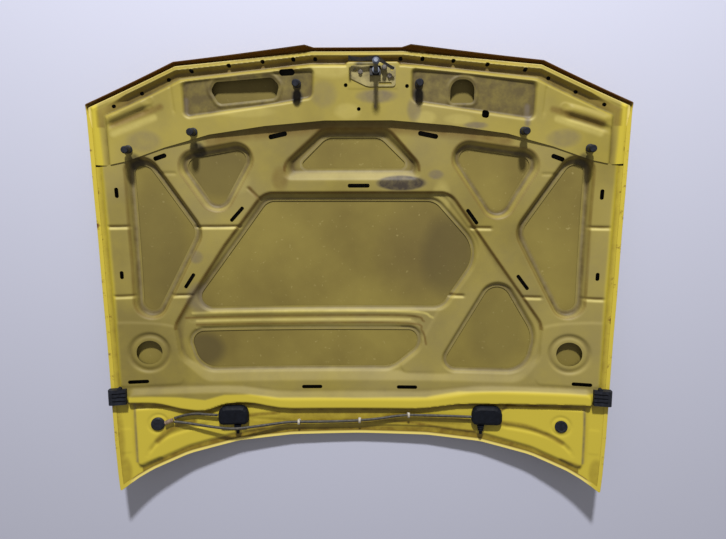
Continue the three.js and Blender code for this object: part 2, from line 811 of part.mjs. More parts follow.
function catchLever() {
  const outline = [[-62, 36, 3], [-30, 34, 8], [8, 37, 10], [26, 28, 6], [52, 12, 5], [58, 18, 5], [36, 30, 12], [12, 49, 14], [-28, 43, 8], [-60, 47, 3]];
  let solid = prism(outline, CATCH_LOW, CATCH_LOW + 3, 20);
  solid = solid.add(prism([[-62, 35, 1], [-56, 35, 1], [-56, 47, 1], [-62, 47, 1]], CATCH_LOW, CATCH_LOW + 16));
  solid = solid.subtract(prism(disc(...CATCH_PIVOT, 3.4), 0, 60, 30));
  return toGeometry(solid);
}

function catchRivet() {
  const g = lathe([[0, 2.9], [5, 2.9], [5, 16.5], [3, 16.5], [3, 20.5], [6, 20.5], [5, 23], [0, 23.4]], 14);
  g.translate(...CATCH_PIVOT, 0);
  return g;
}

function catchSpring() {
  const turns = 3;
  const points = [];
  for (let i = 0; i <= turns * 10; i += 1) {
    const a = (i / 10) * Math.PI * 2;
    points.push([CATCH_PIVOT[0] + 6.6 * Math.cos(a), CATCH_PIVOT[1] + 6.6 * Math.sin(a), 5 + (i / (turns * 10)) * 8]);
  }
  return along(points, 0.9, 5, turns * 11);
}

// Sheet reinforcement below a seat, in the flat frame of the seat
function reinforcement(seat, margin, thick, below, lift) {
  const { x, y, half: [a, b], h } = seat;
  const corners = [[x - a + margin, y - b + margin, 4], [x + a - margin, y - b + margin, 4], [x + a - margin, y + b - margin, 4], [x - a + margin, y + b - margin, 4]];
  const top = h - SHEET - below;
  return onCrown(prism(corners, top - thick, top), (px, py, ph) => seatPlane(seat, px, py) + ph);
}

function weldNut(seat, dy) {
  const g = lathe([[0, -3.2], [8, -3.2], [8, 0], [0, 0]], 6);
  const top = seat.h - SHEET - 0.4 - 2 - 0.4;
  return stand(g, (x, y, h) => seatPlane(seat, x, y) + h, seat.x, seat.y + dy, top, 0);
}

// Hose clip: ring round the hose on a short foot
function hoseClip(x, y, hoseHeight) {
  const ring = cylinderSolid(8, -3, 3, 14).subtract(cylinderSolid(4.8, -5, 5, 14));
  const turned = ring.rotate([0, 90, 0]);
  const foot = moved(cylinderSolid(5, 0.6, 3.4, 12), 0, 0, -(hoseHeight - REAR_FLOOR) + 0.6);
  const stem = moved(cylinderSolid(2.6, 1.5, hoseHeight - REAR_FLOOR - 6, 10), 0, 0, -(hoseHeight - REAR_FLOOR) + 0.6);
  const g = toGeometry(turned.add(foot).add(stem));
  g.translate(x, y, crown(x, y) + hoseHeight);
  return g;
}

const CLIPS = [['left', -179, 198, 26], ['middle', 1, 202, 26], ['right', 146, 219, 26]];

function at(x, y, h) {
  return [x, y, crown(x, y) + h];
}

function longHose() {
  const route = [
    at(-541, 209, 24), at(-500, 203, 27), at(-440, 195, 36), at(-370, 188, 42), at(-290, 191, 33),
    at(-215, 197, 26), at(-179, 198, 26), at(-140, 198, 26), at(-60, 199, 26), at(1, 202, 26),
    at(60, 208, 26), at(110, 216, 26), at(146, 219, 26), at(185, 219, 26), at(260, 219, 27), at(330, 218, 27),
  ];
  return along(route, 4, 7, 48);
}

function shortHose() {
  const route = [at(-541, 219, 24), at(-515, 226, 24), at(-480, 230, 25), at(-448, 227, 26), at(-416, 224, 27)];
  return along(route, 4, 7, 12);
}

function hoseConnector() {
  const body = along([at(-566, 206, 25), at(-556, 211, 25), at(-544, 214, 25)], 6, 10, 4);
  return toGeometry(toSolid(body));
}

const group = new THREE.Group();
group.name = 'car_bonnet';
group.add(part('outer_skin', onCrown(outerSkin(), skinLift), 'paint_outer'));
group.add(part('inner_frame', onCrown(innerFrame(), frameLift), 'paint_inner'));
group.add(part('front_inner_panel', onCrown(frontInnerPanel(), panelLift), 'paint_inner'));

const BUFFERS = [
  ['outer', 612, 988],
  ['middle', 440, 1034],
  ['inner', 161, 1157],
];
BUFFERS.forEach(([label, x, y]) => {
  [['left', -1], ['right', 1]].forEach(([side, s]) => {
    const level = label === 'inner' ? POCKET : PANEL;
    const g = stand(rubberBuffer(), panelLift, s * x, y, level, 1.1);
    group.add(part(`buffer_${label}_${side}`, g, 'rubber'));
  });
});

group.add(part('side_buffer_left', sideBuffer(-1), 'rubber'));
group.add(part('side_buffer_right', sideBuffer(1), 'rubber'));

group.add(part('striker_plate', onLock(strikerPlate()), 'steel'));
group.add(part('striker_bracket', onLock(strikerBracket()), 'black_steel'));
group.add(part('striker_pin', onLock(strikerPin()), 'steel'));
group.add(part('catch_lever', onLock(catchLever()), 'black_steel'));
group.add(part('catch_rivet', onLock(catchRivet()), 'steel'));
group.add(part('catch_spring', onLock(catchSpring()), 'steel'));
[['left', -32, 10], ['right', 44, 0]].forEach(([side, x, y]) => {
  const g = bolt();
  g.translate(x, y, 0.4 + PLATE);
  group.add(part(`plate_bolt_${side}`, onLock(g), 'steel'));
});

group.add(part('lock_reinforcement', reinforcement(LOCK_SEAT, 6, 2, 0.5), 'steel'));
HINGE_SEATS.forEach((seat, i) => {
  const side = i === 0 ? 'left' : 'right';
  group.add(part(`hinge_reinforcement_${side}`, reinforcement(seat, 2, 2, 0.4), 'steel'));
  group.add(part(`hinge_nut_${side}_rear`, weldNut(seat, -20), 'steel'));
  group.add(part(`hinge_nut_${side}_front`, weldNut(seat, 20), 'steel'));
});

group.add(part('hose_grommet', stand(grommet(), frameLift, ...GROMMETS[0], REAR_FLOOR, 0), 'rubber'));
group.add(part('blank_plug', stand(plug(), frameLift, ...GROMMETS[1], REAR_FLOOR, 0), 'rubber'));
NOZZLES.forEach(([side, x, y]) => {
  group.add(part(`nozzle_body_${side}`, stand(nozzleBody(), frameLift, x, y, NOZZLE_BASE, 1.1), 'black_plastic'));
  const stub = nozzleStub();
  stub.translate(x + (side === 'left' ? 12 : -18), y - 29, crown(x, y - 30) + REAR_FLOOR + 12);
  group.add(part(`nozzle_stub_${side}`, stub, 'black_plastic'));
});
group.add(part('hose_connector', hoseConnector(), 'pale_plastic'));
group.add(part('washer_hose_long', longHose(), 'hose'));
group.add(part('washer_hose_short', shortHose(), 'hose'));
CLIPS.forEach(([label, x, y, h]) => {
  group.add(part(`hose_clip_${label}`, hoseClip(x, y, h), 'pale_plastic'));
});

// Origin at the middle of the plan box, lowest point of the crown at zero
const box = new THREE.Box3().setFromObject(group);
const shift = new THREE.Vector3(0, -(box.min.y + box.max.y) / 2, -box.min.z);
group.traverse((o) => {
  if (o.isMesh) o.geometry.translate(shift.x, shift.y, shift.z);
});
group.userData.shift = shift.toArray();

export default group;
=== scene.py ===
# Looks of the car bonnet, lying on its outer skin with the inner side up.
# Plan sizes are millimetres: x across, y from the rear corners to the nose, h above the skin.

import math

import bpy
import numpy as np
from mathutils import Matrix, Vector
from mathutils.geometry import delaunay_2d_cdt


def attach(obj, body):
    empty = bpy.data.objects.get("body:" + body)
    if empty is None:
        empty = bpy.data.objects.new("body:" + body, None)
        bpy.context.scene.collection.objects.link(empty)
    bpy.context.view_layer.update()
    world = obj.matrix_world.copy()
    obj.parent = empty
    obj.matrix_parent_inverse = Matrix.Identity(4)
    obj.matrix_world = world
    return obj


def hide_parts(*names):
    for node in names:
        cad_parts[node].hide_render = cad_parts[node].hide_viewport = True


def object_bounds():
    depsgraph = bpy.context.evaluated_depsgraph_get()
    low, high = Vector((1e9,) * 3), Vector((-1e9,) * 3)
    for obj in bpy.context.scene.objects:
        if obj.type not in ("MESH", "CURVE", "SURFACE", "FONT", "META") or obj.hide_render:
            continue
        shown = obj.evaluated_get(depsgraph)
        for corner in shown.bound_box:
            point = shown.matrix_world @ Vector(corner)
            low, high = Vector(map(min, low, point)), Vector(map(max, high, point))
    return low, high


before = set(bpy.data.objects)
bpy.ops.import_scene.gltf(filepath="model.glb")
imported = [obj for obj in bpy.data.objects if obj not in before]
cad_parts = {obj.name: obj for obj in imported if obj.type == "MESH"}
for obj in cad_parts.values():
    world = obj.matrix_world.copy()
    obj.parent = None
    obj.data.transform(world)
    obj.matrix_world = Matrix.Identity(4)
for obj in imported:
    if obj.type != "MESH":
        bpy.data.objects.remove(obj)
cad_low, cad_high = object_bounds()

MM = 0.001
NOSE_TIP = 1252.94
PLAN_Y = cad_high.y / MM - NOSE_TIP
BASE_Z = 0.788

# Sizes of the pressings, in millimetres above the skin where no other measure is named
SKIN = 0.8
SHEET = 0.8
OUTER_FACE = 0.02 - SKIN
HEM_TOP = 10.5
HEM_WIDTH = 11
FLANGE = 8.6
RAIL = 20
WEB = 9
FOOT = 2.6
RIDGE = 31
REAR_FLOOR = 14
PANEL = 34
POCKET = 25
STRIP = 13
SLOPE = 20
SLOPE_RISE = 7
SIDE_DROP = 11

# The nose edge from the middle outwards: x, y and how far the sheets curl up there
CURL_REACH = 22
NOSE_CORNER = 481
NOSE_LINE = [
    (0, 1248, 7),
    (116, 1248, 8),
    (138, 1253, 16),
    (NOSE_CORNER, 1211, 6),
    (709, 1102, 4),
    (900, 1011, 4),
]
# Cosine of the edge's slant against x, on the middle stretch and past the corner
MIDDLE_SLANT, END_SLANT = 0.993, 0.902

# Corners are x, y and radius; this radius asks for the largest one that fits
SMOOTH = 0


def crown(x, y):
    u = x / 1000
    v = y / 1000 - 0.58
    return 75 * u**2 + 87.4 * u**4 + 90 * v**2


def curl(x, y):
    """How far the sheets curl up towards the front edge of the nose."""
    a = np.abs(x)
    places, edge, rise = zip(*NOSE_LINE)
    depth = (np.interp(a, places, edge) - y) * np.where(a > NOSE_CORNER, END_SLANT, MIDDLE_SLANT)
    return np.interp(a, places, rise) * np.clip(1 - depth / CURL_REACH, 0, 1) ** 2


def to_frame(x, y, z):
    """Plan millimetres to metres in the frame."""
    return np.clip(np.stack([x, y + PLAN_Y, z + BASE_Z], -1) * MM, list(cad_low), list(cad_high))


# Outlines. A round end stops this far short of a full half circle.
ALMOST = 0.05


def turns(corners):
    """Signed turn at each corner, in radians."""
    p = np.array([c[:2] for c in corners], float)
    a = p - np.roll(p, 1, axis=0)
    b = np.roll(p, -1, axis=0) - p
    return np.arctan2(a[:, 0] * b[:, 1] - a[:, 1] * b[:, 0], (a * b).sum(1))


def rounded(corners, inset=0.0, step=6):
    """Points of an outline with rounded corners, moved inwards by inset."""
    n = len(corners)
    points = []
    for i, turn in enumerate(turns(corners)):
        before = np.array(corners[i - 1][:2], float)
        here = np.array(corners[i][:2], float)
        after = np.array(corners[(i + 1) % n][:2], float)
        la, lb = np.linalg.norm(here - before), np.linalg.norm(after - here)
        a, b = (here - before) / la, (after - here) / lb
        most = 0.49 * min(la, lb) / max(math.tan(abs(turn) / 2), 1e-6)
        base = most if corners[i][2] == SMOOTH else min(corners[i][2], most)
        side = 1 if turn > 0 else -1
        radius = max(base - side * inset, 0.4)
        na, nb = np.array([-a[1], a[0]]), np.array([-b[1], b[0]])
        middle = (na + nb) / (1 + na @ nb)
        centre = here + middle * (inset + side * radius)
        count = max(1, round(abs(math.degrees(turn)) / step))
        for j in range(count + 1):
            t = turn * j / count
            c, s = math.cos(t), math.sin(t)
            out = np.array([na[0] * c - na[1] * s, na[0] * s + na[1] * c])
            points.append(centre - side * radius * out)
    return np.array(points)


def flip_x(corners):
    return [(-x, y, r) for x, y, r in reversed(corners)]


def mirrored(half):
    return half + flip_x(half)


def box(x, y, a, b, radius):
    """Upright rectangle round a middle, from its half sizes."""
    return [(x - a, y - b, radius), (x + a, y - b, radius), (x + a, y + b, radius), (x - a, y + b, radius)]


def bar(x0, y0, x1, y1, width, radius=None):
    """Rectangle along a line, with round ends unless a radius is given."""
    d = np.array([x1 - x0, y1 - y0], float)
    d /= np.linalg.norm(d)
    ox, oy = -d[1] * width / 2, d[0] * width / 2
    r = width / 2 - ALMOST if radius is None else radius
    return [(x0 - ox, y0 - oy, r), (x1 - ox, y1 - oy, r), (x1 + ox, y1 + oy, r), (x0 + ox, y0 + oy, r)]


def disc(x, y, radius):
    return box(x, y, radius, radius, radius - ALMOST)


# Height field over the plan, on a square grid
PITCH = 1.6
XS = np.arange(-724, 724 + PITCH, PITCH, dtype=np.float32)
YS = np.arange(-4, 1262 + PITCH, PITCH, dtype=np.float32)
X, Y = np.meshgrid(XS, YS)
REACH = 64.0
LOW = -99.0


def rows(low, high):
    return slice(max(0, int((low - YS[0]) / PITCH)), max(0, int((high - YS[0]) / PITCH) + 2))


def columns(low, high):
    return slice(max(0, int((low - XS[0]) / PITCH)), max(0, int((high - XS[0]) / PITCH) + 2))


def distance(points, closed=True):
    """Distance from a line of points, positive inside a closed one, held at REACH."""
    best = np.full(X.shape, REACH**2, np.float32)
    inside = np.zeros(X.shape, bool)
    ends = np.roll(points, -1, axis=0) if closed else points[1:]
    for (ax, ay), (bx, by) in zip(points, ends):
        dx, dy = bx - ax, by - ay
        if dx * dx + dy * dy < 1e-8:
            continue
        r = rows(min(ay, by) - REACH, max(ay, by) + REACH)
        c = columns(min(ax, bx) - REACH, max(ax, bx) + REACH)
        gx, gy = XS[c][None, :] - ax, YS[r][:, None] - ay
        t = np.clip((gx * dx + gy * dy) / (dx * dx + dy * dy), 0, 1)
        d2 = (gx - t * dx) ** 2 + (gy - t * dy) ** 2
        best[r, c] = np.minimum(best[r, c], d2)
        if closed and abs(dy) > 1e-9:
            crossed = np.nonzero((YS >= min(ay, by)) & (YS < max(ay, by)))[0]
            inside[crossed] ^= XS[None, :] > (ax + (YS[crossed] - ay) * dx / dy)[:, None]
    d = np.sqrt(best)
    return np.where(inside, d, -d) if closed else d


def raised(corners, insets, heights):
    """Height of a block whose wall stands on an outline; nothing outside the first inset."""
    d = distance(rounded(corners))
    return np.where(d < insets[0], LOW, np.interp(d, insets, heights))


def loft(outer, inner, low, high):
    """Height between two outlines, with its flat top or floor inside the inner one."""
    d0, d1 = distance(rounded(outer)), distance(rounded(inner))
    t = np.clip(d0 / np.maximum(d0 - np.minimum(d1, 0), 1e-3), 0, 1)
    return np.where(d1 >= 0, high, low + (high - low) * t), d0


def blur(field, sigma):
    """Gaussian blur over the plan, sigma in millimetres."""
    n = int(3 * sigma / PITCH) + 1
    weights = np.exp(-0.5 * (np.arange(-n, n + 1) * PITCH / sigma) ** 2)
    weights /= weights.sum()
    for axis in (0, 1):
        padded = np.pad(field, [(n, n) if k == axis else (0, 0) for k in (0, 1)], mode="edge")
        size = field.shape[axis]
        parts = [padded[k : k + size] if axis == 0 else padded[:, k : k + size] for k in range(len(weights))]
        field = sum(w * part for w, part in zip(weights, parts))
    return field


def groove(field, x0, y0, x1, y1, width, depth):
    """Presses a rounded bead into the field; a negative depth raises it."""
    d = distance(np.array([(x0, y0), (x1, y1)], float), closed=False)
    return field - depth * np.clip(1 - (d / (width / 2)) ** 2, 0, 1)


def path(points, count=24):
    """Smooth open line through the points."""
    p = np.array(points, float)
    p = np.vstack([2 * p[0] - p[1], p, 2 * p[-1] - p[-2]])
    out = []
    for i in range(1, len(p) - 2):
        for t in np.linspace(0, 1, count, endpoint=False):
            bend = 2 * p[i - 1] - 5 * p[i] + 4 * p[i + 1] - p[i + 2]
            end = 3 * p[i] - p[i - 1] - 3 * p[i + 1] + p[i + 2]
            out.append(0.5 * (2 * p[i] + (p[i + 1] - p[i - 1]) * t + bend * t**2 + end * t**3))
    out.append(p[-2])
    return np.array(out)


def line_bead(field, points, width, depth, taper=0.0):
    """Bead along a smooth open line, fading out over taper at its ends."""
    d = distance(path(points), closed=False)
    fade = 1.0
    if taper:
        start, end = np.array(points[0], float), np.array(points[-1], float)
        near = np.minimum(np.hypot(X - start[0], Y - start[1]), np.hypot(X - end[0], Y - end[1]))
        fade = np.clip(near / taper, 0.25, 1)
    return field - depth * fade * np.clip(1 - (d / (width / 2)) ** 2, 0, 1)


# Outer edge, from the rear right round the nose
EDGE = mirrored([
    (280, 149, SMOOTH),
    (430, 125, SMOOTH),
    (560, 85, SMOOTH),
    (648, 42, SMOOTH),
    (701, 4, 4),
    (710, 110, SMOOTH),
    (717.5, 420, SMOOTH),
    (717, 760, SMOOTH),
    (713, 980, SMOOTH),
    (709, 1102, 6),
    (481, 1211, 14),
    (138, 1253, 3),
    (116, 1248, 4),
]) + [(-100, 156, SMOOTH), (100, 156, SMOOTH)]
# Front of the skin, from which the panel's nose form is measured, and the panel's own edge
NOSE_EDGE = mirrored([(717, 760, 1), (713, 980, SMOOTH), (709, 1102, 6), (481, 1211, 14), (124, 1250, 40)])
PANEL_EDGE = mirrored([(714, 760, 1), (710, 980, SMOOTH), (704, 1094, 6), (478, 1201, 14), (128, 1239, 40)])
# Seam between the frame and the front panel
PANEL_REAR = [(672, 945), (620, 957), (520, 993), (400, 1027), (250, 1049), (90, 1063)]
PANEL_REAR += [(-x, y) for x, y in reversed(PANEL_REAR)]
FRAME_FRONT, PANEL_BACK = 943.5, 945.5

# Windows and holes of the inner frame
RIGHT_SIDE = [(571, 945, 26), (456, 763, 42), (578, 534, 30), (613, 547, 26), (608, 945, 22)]
SIDE_WINDOWS = [RIGHT_SIDE, flip_x(RIGHT_SIDE)]
MAIN_WINDOW = [(-485, 543, 31), (238, 544, 45), (341, 705, 85), (214, 847, 50), (-256, 848, 40)]
LOW_WINDOW = [(-463, 362, 62), (98, 362, 66), (174, 426, 56), (168, 472, 32), (-494, 472, 32)]
CORNER_WINDOW = [(239, 360, 26), (479, 360, 62), (501, 465, 85), (396, 640, 38)]
TOP_WINDOW = [(-173, 937, 12), (146, 937, 12), (60, 1020, 42), (-87, 1020, 42)]
LEFT_TRIANGLE = [(-392, 816, 26), (-287, 996, 24), (-483, 960, 24)]
RIGHT_TRIANGLE = [(388, 796, 26), (481, 962, 24), (250, 996, 24)]
TRIANGLES = [LEFT_TRIANGLE, RIGHT_TRIANGLE]
DEEP_WINDOWS = [MAIN_WINDOW, LOW_WINDOW, CORNER_WINDOW]
WINDOWS = SIDE_WINDOWS + DEEP_WINDOWS + [TOP_WINDOW] + TRIANGLES
SLOTS = [
    bar(-654, 887, -654, 859, 10),
    bar(-660, 657, -660, 634, 10),
    bar(654, 880, 654, 852, 10),
    bar(660, 652, 660, 629, 10),
    bar(-321, 832, -358, 792, 10),
    bar(-466, 645, -494, 603, 10),
    bar(301, 825, 332, 783, 10),
    bar(447, 640, 479, 598, 10),
    bar(-552, 962, -518, 974, 12),
    bar(518, 970, 552, 957, 12),
    bar(-243, 1020, -193, 1031, 13),
    bar(162, 1031, 216, 1020, 13),
    bar(-30, 890, 31, 890, 11),
    bar(-169, 303, -109, 303, 11),
    bar(111, 302, 171, 302, 11),
    bar(-663, 334, -606, 333, 11),
    bar(609, 328, 664, 328, 11),
]
ROUND_HOLES = [(-601, 418), (599, 414)]
GROMMETS = [(-590, 201), (588, 196)]

# Recesses of the inner frame: outline at the rail and outline on the floor
BIG_TOP = [
    (-445, 322, 60),
    (470, 322, 60),
    (521, 395, 50),
    (524, 500, 50),
    (256, 873, 55),
    (-266, 873, 55),
    (-437, 654, SMOOTH),
    (-531, 495, 50),
    (-520, 395, 60),
]
BIG_FOOT = [
    (-438, 350, 60),
    (464, 350, 60),
    (513, 403, 48),
    (516, 498, 48),
    (252, 866, 52),
    (-262, 866, 52),
    (-430, 650, SMOOTH),
    (-523, 493, 48),
    (-512, 403, 57),
]
CORNER_WEB = [
    (100, 342, 20),
    (530, 335, 20),
    (540, 510, 20),
    (300, 880, 10),
    (226, 878, 10),
    (352, 712, 60),
    (262, 600, 60),
    (180, 437, 30),
]
CORNER_PLATEAU = [
    (505, 318, 20),
    (684, 318, 10),
    (684, 512, 6),
    (620, 511, SMOOTH),
    (548, 500, SMOOTH),
    (524, 492, 10),
]
HIGH_TOP = [(-208, 906, 20), (173, 906, 20), (168, 952, 40), (82, 1047, 45), (-98, 1047, 45), (-206, 952, 40)]
HIGH_FOOT = [
    (-188, 930, 14),
    (158, 930, 14),
    (150, 954, 30),
    (69, 1031, 45),
    (-95, 1031, 45),
    (-183, 954, 30),
]

# Crest, rear floor and rails
CREST = [
    (-666, 271, 6),
    (-580, 265, SMOOTH),
    (-520, 243, SMOOTH),
    (-450, 233, SMOOTH),
    (-395, 256, SMOOTH),
    (-320, 258, SMOOTH),
    (-235, 236, SMOOTH),
    (195, 236, SMOOTH),
    (290, 254, SMOOTH),
    (430, 256, SMOOTH),
    (666, 266, 6),
]


def behind_crest(side, shoulder, middle, radius):
    """Outline between the crest's rear line and a front line, given by its y at three places."""
    front = [(330, shoulder), (215, middle), (-245, middle), (-340, shoulder)]
    return CREST + [(664, side, radius), *[(x, y, SMOOTH) for x, y in front], (-664, side, radius)]


REAR_PAN = mirrored([
    (300, 168, SMOOTH),
    (440, 143, SMOOTH),
    (560, 105, SMOOTH),
    (655, 58, 20),
    (660, 255, 14),
]) + [(-110, 176, SMOOTH), (110, 176, SMOOTH)]
RAILS = CREST + [
    (688, 284, 10),
    (692, 520, SMOOTH),
    (691, 900, SMOOTH),
    (684, 1090, 10),
    (-684, 1090, 10),
    (-691, 900, SMOOTH),
    (-692, 520, SMOOTH),
    (-688, 284, 10),
]

# Beads across the rails: x from, y and x to
CRUSH_BEADS = [
    (-682, 780, -632),
    (-682, 584, -632),
    (630, 776, 680),
    (630, 576, 680),
    (-458, 777, -334),
    (-532, 582, -478),
    (314, 772, 370),
    (468, 576, 516),
    (258, 576, 302),
]
# Shallow grooves: two ends, width and depth
GROOVES = [
    (-545, 925, -500, 925, 9, 2.2),
    (500, 920, 540, 920, 9, 2.2),
    (-306, 883, -273, 853, 9, 2.5),
]
# Longer beads: points, width, depth and fade at the ends
MIDDLE_RIBS = [
    ([(-484, 510), (-200, 511), (120, 510), (176, 496)], 22, 3, 12),
    ([(-470, 484), (-200, 485), (120, 484), (180, 462), (196, 425)], 12, 1.6, 12),
]
REAR_BEADS = [
    ([(-622, 108), (-602, 138), (-560, 165), (-500, 182), (-440, 192)], 15, 3.5, 20),
    ([(622, 112), (602, 137), (560, 162), (500, 178), (415, 190)], 15, 3.5, 20),
    ([(-60, 196), (60, 192), (200, 190), (310, 186)], 9, 1.6, 30),
    ([(40, 182), (150, 180), (290, 176)], 7, 1.4, 30),
    ([(-330, 205), (-250, 199), (-160, 186), (-90, 184)], 12, 1.8, 30),
    ([(440, 262), (424, 236), (408, 214)], 9, 2.0, 8),
]
# Flat pads: middle and half sizes
HINGE_SEATS = [(-680, 155, 15, 36), (680, 155, 15, 36)]
LOCK_SEAT = (39, 1175, 67, 33)

# Front panel
LEFT_POCKET = [
    (-466, 1066, 18),
    (-200, 1104, 30),
    (-118, 1118, 20),
    (-112, 1196, 15),
    (-300, 1184, 60),
    (-466, 1164, 20),
]
RIGHT_POCKET = [
    (138, 1108, 20),
    (300, 1084, 60),
    (470, 1058, 18),
    (470, 1160, 20),
    (300, 1182, 60),
    (138, 1196, 15),
]
LEFT_POCKET_WINDOW = [
    (-369, 1106, 14),
    (-218, 1121, 16),
    (-208, 1152, 14),
    (-226, 1173, 16),
    (-376, 1161, 14),
    (-389, 1140, 14),
]
POCKET_WINDOWS = [
    LEFT_POCKET_WINDOW,
    [(244, 1107, 10), (307, 1107, 10), (307, 1166, 28), (244, 1166, 28)],
]
PANEL_SLOTS = [bar(336, 1068, 340, 1088, 19, 7), bar(-206, 1184, -166, 1186, 16)]
PANEL_HOLES = [(-9, 1193, 4), (129, 1149, 5), (2, 1092, 5), (-32, 1152, 5)]
# Holes along the strip at the nose on both sides: x, y and turn in degrees
STRIP_HOLES = [
    (640, 1098, -25),
    (567, 1131, -25),
    (496, 1166, -25),
    (435, 1188, -8),
    (337, 1202, -7),
    (249, 1212, -7),
    (169, 1218, -6),
    (112, 1219, 0),
]
STRIP_HOLE_WIDTH = 9
STRIP_HOLE_REACH = 5.5
WING_BEADS = [[(-664, 1064), (-600, 1092), (-548, 1114)], [(660, 1052), (600, 1074), (540, 1093)]]
POCKET_CREASES = [[(-492, 1158), (-490, 1115), (-487, 1078)], [(492, 1150), (491, 1110), (489, 1070)]]


def seat_plane(x0, y0, x, y):
    """Plane that touches the crowned skin at a place."""
    d = 4
    sx = (crown(x0 + d, y0) - crown(x0 - d, y0)) / (2 * d)
    sy = (crown(x0, y0 + d) - crown(x0, y0 - d)) / (2 * d)
    return crown(x0, y0) + sx * (x - x0) + sy * (y - y0)


def seat_rise(field, seat, height):
    """A flat pad pressed into the crowned sheet."""
    x0, y0, a, b = seat
    d = distance(rounded(box(x0, y0, a, b, 5)))
    flat = seat_plane(x0, y0, X, Y) - crown(X, Y) + height
    return np.where(d > 0, flat, np.where(d > -3, np.maximum(field, height - 1 + d * 0.3), field))


def sunk(field, corners, foot, rim, high):
    """Well round a window, from its foot to the height at its rim."""
    d = -distance(rounded(corners))
    return np.where(d < rim, np.minimum(field, np.interp(d, [foot, rim], [FOOT, high])), field)


def frame_form():
    """Height of the inner frame over the skin."""
    form = np.full(X.shape, FLANGE, float)
    form = np.maximum(form, raised(RAILS, [-6, -2.5, 7], [FLANGE - 4, FLANGE, RAIL]))
    for corners in (CORNER_PLATEAU, flip_x(CORNER_PLATEAU)):
        form = np.maximum(form, raised(corners, [0, 5], [RAIL, RAIL + 2]))
    d0 = distance(rounded(behind_crest(316, 311, 291, 20)))
    d1 = distance(rounded(behind_crest(300, 295, 269, 14)))
    t = np.clip(d0 / np.maximum(d0 - np.minimum(d1 - 4, 0), 1e-3), 0, 1)
    crest = np.where(d0 < 0, LOW, np.where(d1 >= 4, RIDGE, RAIL + (RIDGE - RAIL) * t))
    form = np.maximum(form, crest)
    form = np.maximum(form, raised(REAR_PAN, [0, 3, 9], [FLANGE - 3, FLANGE, REAR_FLOOR]))

    cut, d = loft(BIG_TOP, BIG_FOOT, RAIL, WEB)
    cut = np.maximum(cut, np.where(d > 1, raised(CORNER_WEB, [0, 5], [WEB, WEB + 3]), LOW))
    form = np.where(d > 0, np.minimum(form, cut), form)
    cut, d = loft(HIGH_TOP, HIGH_FOOT, RAIL, FOOT)
    form = np.where(d > 0, np.minimum(form, cut), form)
    wells = [(SIDE_WINDOWS, 13, 24, RAIL), (TRIANGLES, 9, 21, RAIL), (DEEP_WINDOWS, 8, 15, WEB + 3)]
    for windows, foot, rim, high in wells:
        for corners in windows:
            form = sunk(form, corners, foot, rim, high)

    for x0, y0, x1 in CRUSH_BEADS:
        form = groove(form, x0, y0, x1, y0, 9.5, 4.4)
    for one in GROOVES:
        form = groove(form, *one)
    for one in MIDDLE_RIBS:
        form = line_bead(form, *one)
    # dishes round the round holes and rings round the grommets
    for x0, y0 in ROUND_HOLES:
        r = np.hypot(X - x0, Y - y0)
        form = form + np.interp(r, [36, 40, 44, 50, 54, 60], [-1.5, -1, -2, -5, -5, 0]) * (r > 30)
    for x0, y0 in GROMMETS:
        r = np.hypot(X - x0, Y - y0)
        form = form - 2.5 * np.interp(r, [22, 27, 32], [0, 1, 0])
    for one in REAR_BEADS:
        form = line_bead(form, *one)
    for seat in HINGE_SEATS:
        form = seat_rise(form, seat, FLANGE + 1)
    return form


def step(value, low, high):
    """Soft change from 0 at low to 1 at high."""
    t = np.clip((value - low) / (high - low), 0, 1)
    return t * t * (3 - 2 * t)


# Line over x behind which the rear part was shielded from dust
CLEAN_X = [-666, -600, -520, -450, -395, -320, -235, 0, 195, 290, 430, 666]
CLEAN_Y = [292, 290, 283, 272, 286, 285, 273, 271, 275, 293, 299, 302]


def clean_field():
    """1 where the paint stayed clean."""
    rear = step(Y - np.interp(X, CLEAN_X, CLEAN_Y), 4, -4)
    side = step(np.abs(X), 676, 688)
    return np.maximum(rear, 0.8 * side)


def traces(lines):
    """Soft lines over the plan: points, half width and strength."""
    field = np.zeros(X.shape)
    for points, reach, strength in lines:
        line = path(points, 8) if len(points) > 2 else np.array(points, float)
        near = 1.4 * (1 - distance(line, closed=False) / reach)
        field = np.maximum(field, strength * np.clip(near, 0, 1))
    return field


def patches(spots):
    """Soft round marks over the plan: place, reach along x and y, and strength."""
    field = np.zeros(X.shape)
    for x, y, rx, ry, strength in spots:
        near = 1.6 * (1 - ((X - x) / rx) ** 2 - ((Y - y) / ry) ** 2)
        field = np.maximum(field, strength * np.clip(near, 0, 1))
    return field


def band(corners, low, high, soft=2.0):
    """1 in a band outside an outline."""
    d = -distance(rounded(corners))
    return np.clip(np.minimum((d - low) / soft, (high - d) / soft), 0, 1)


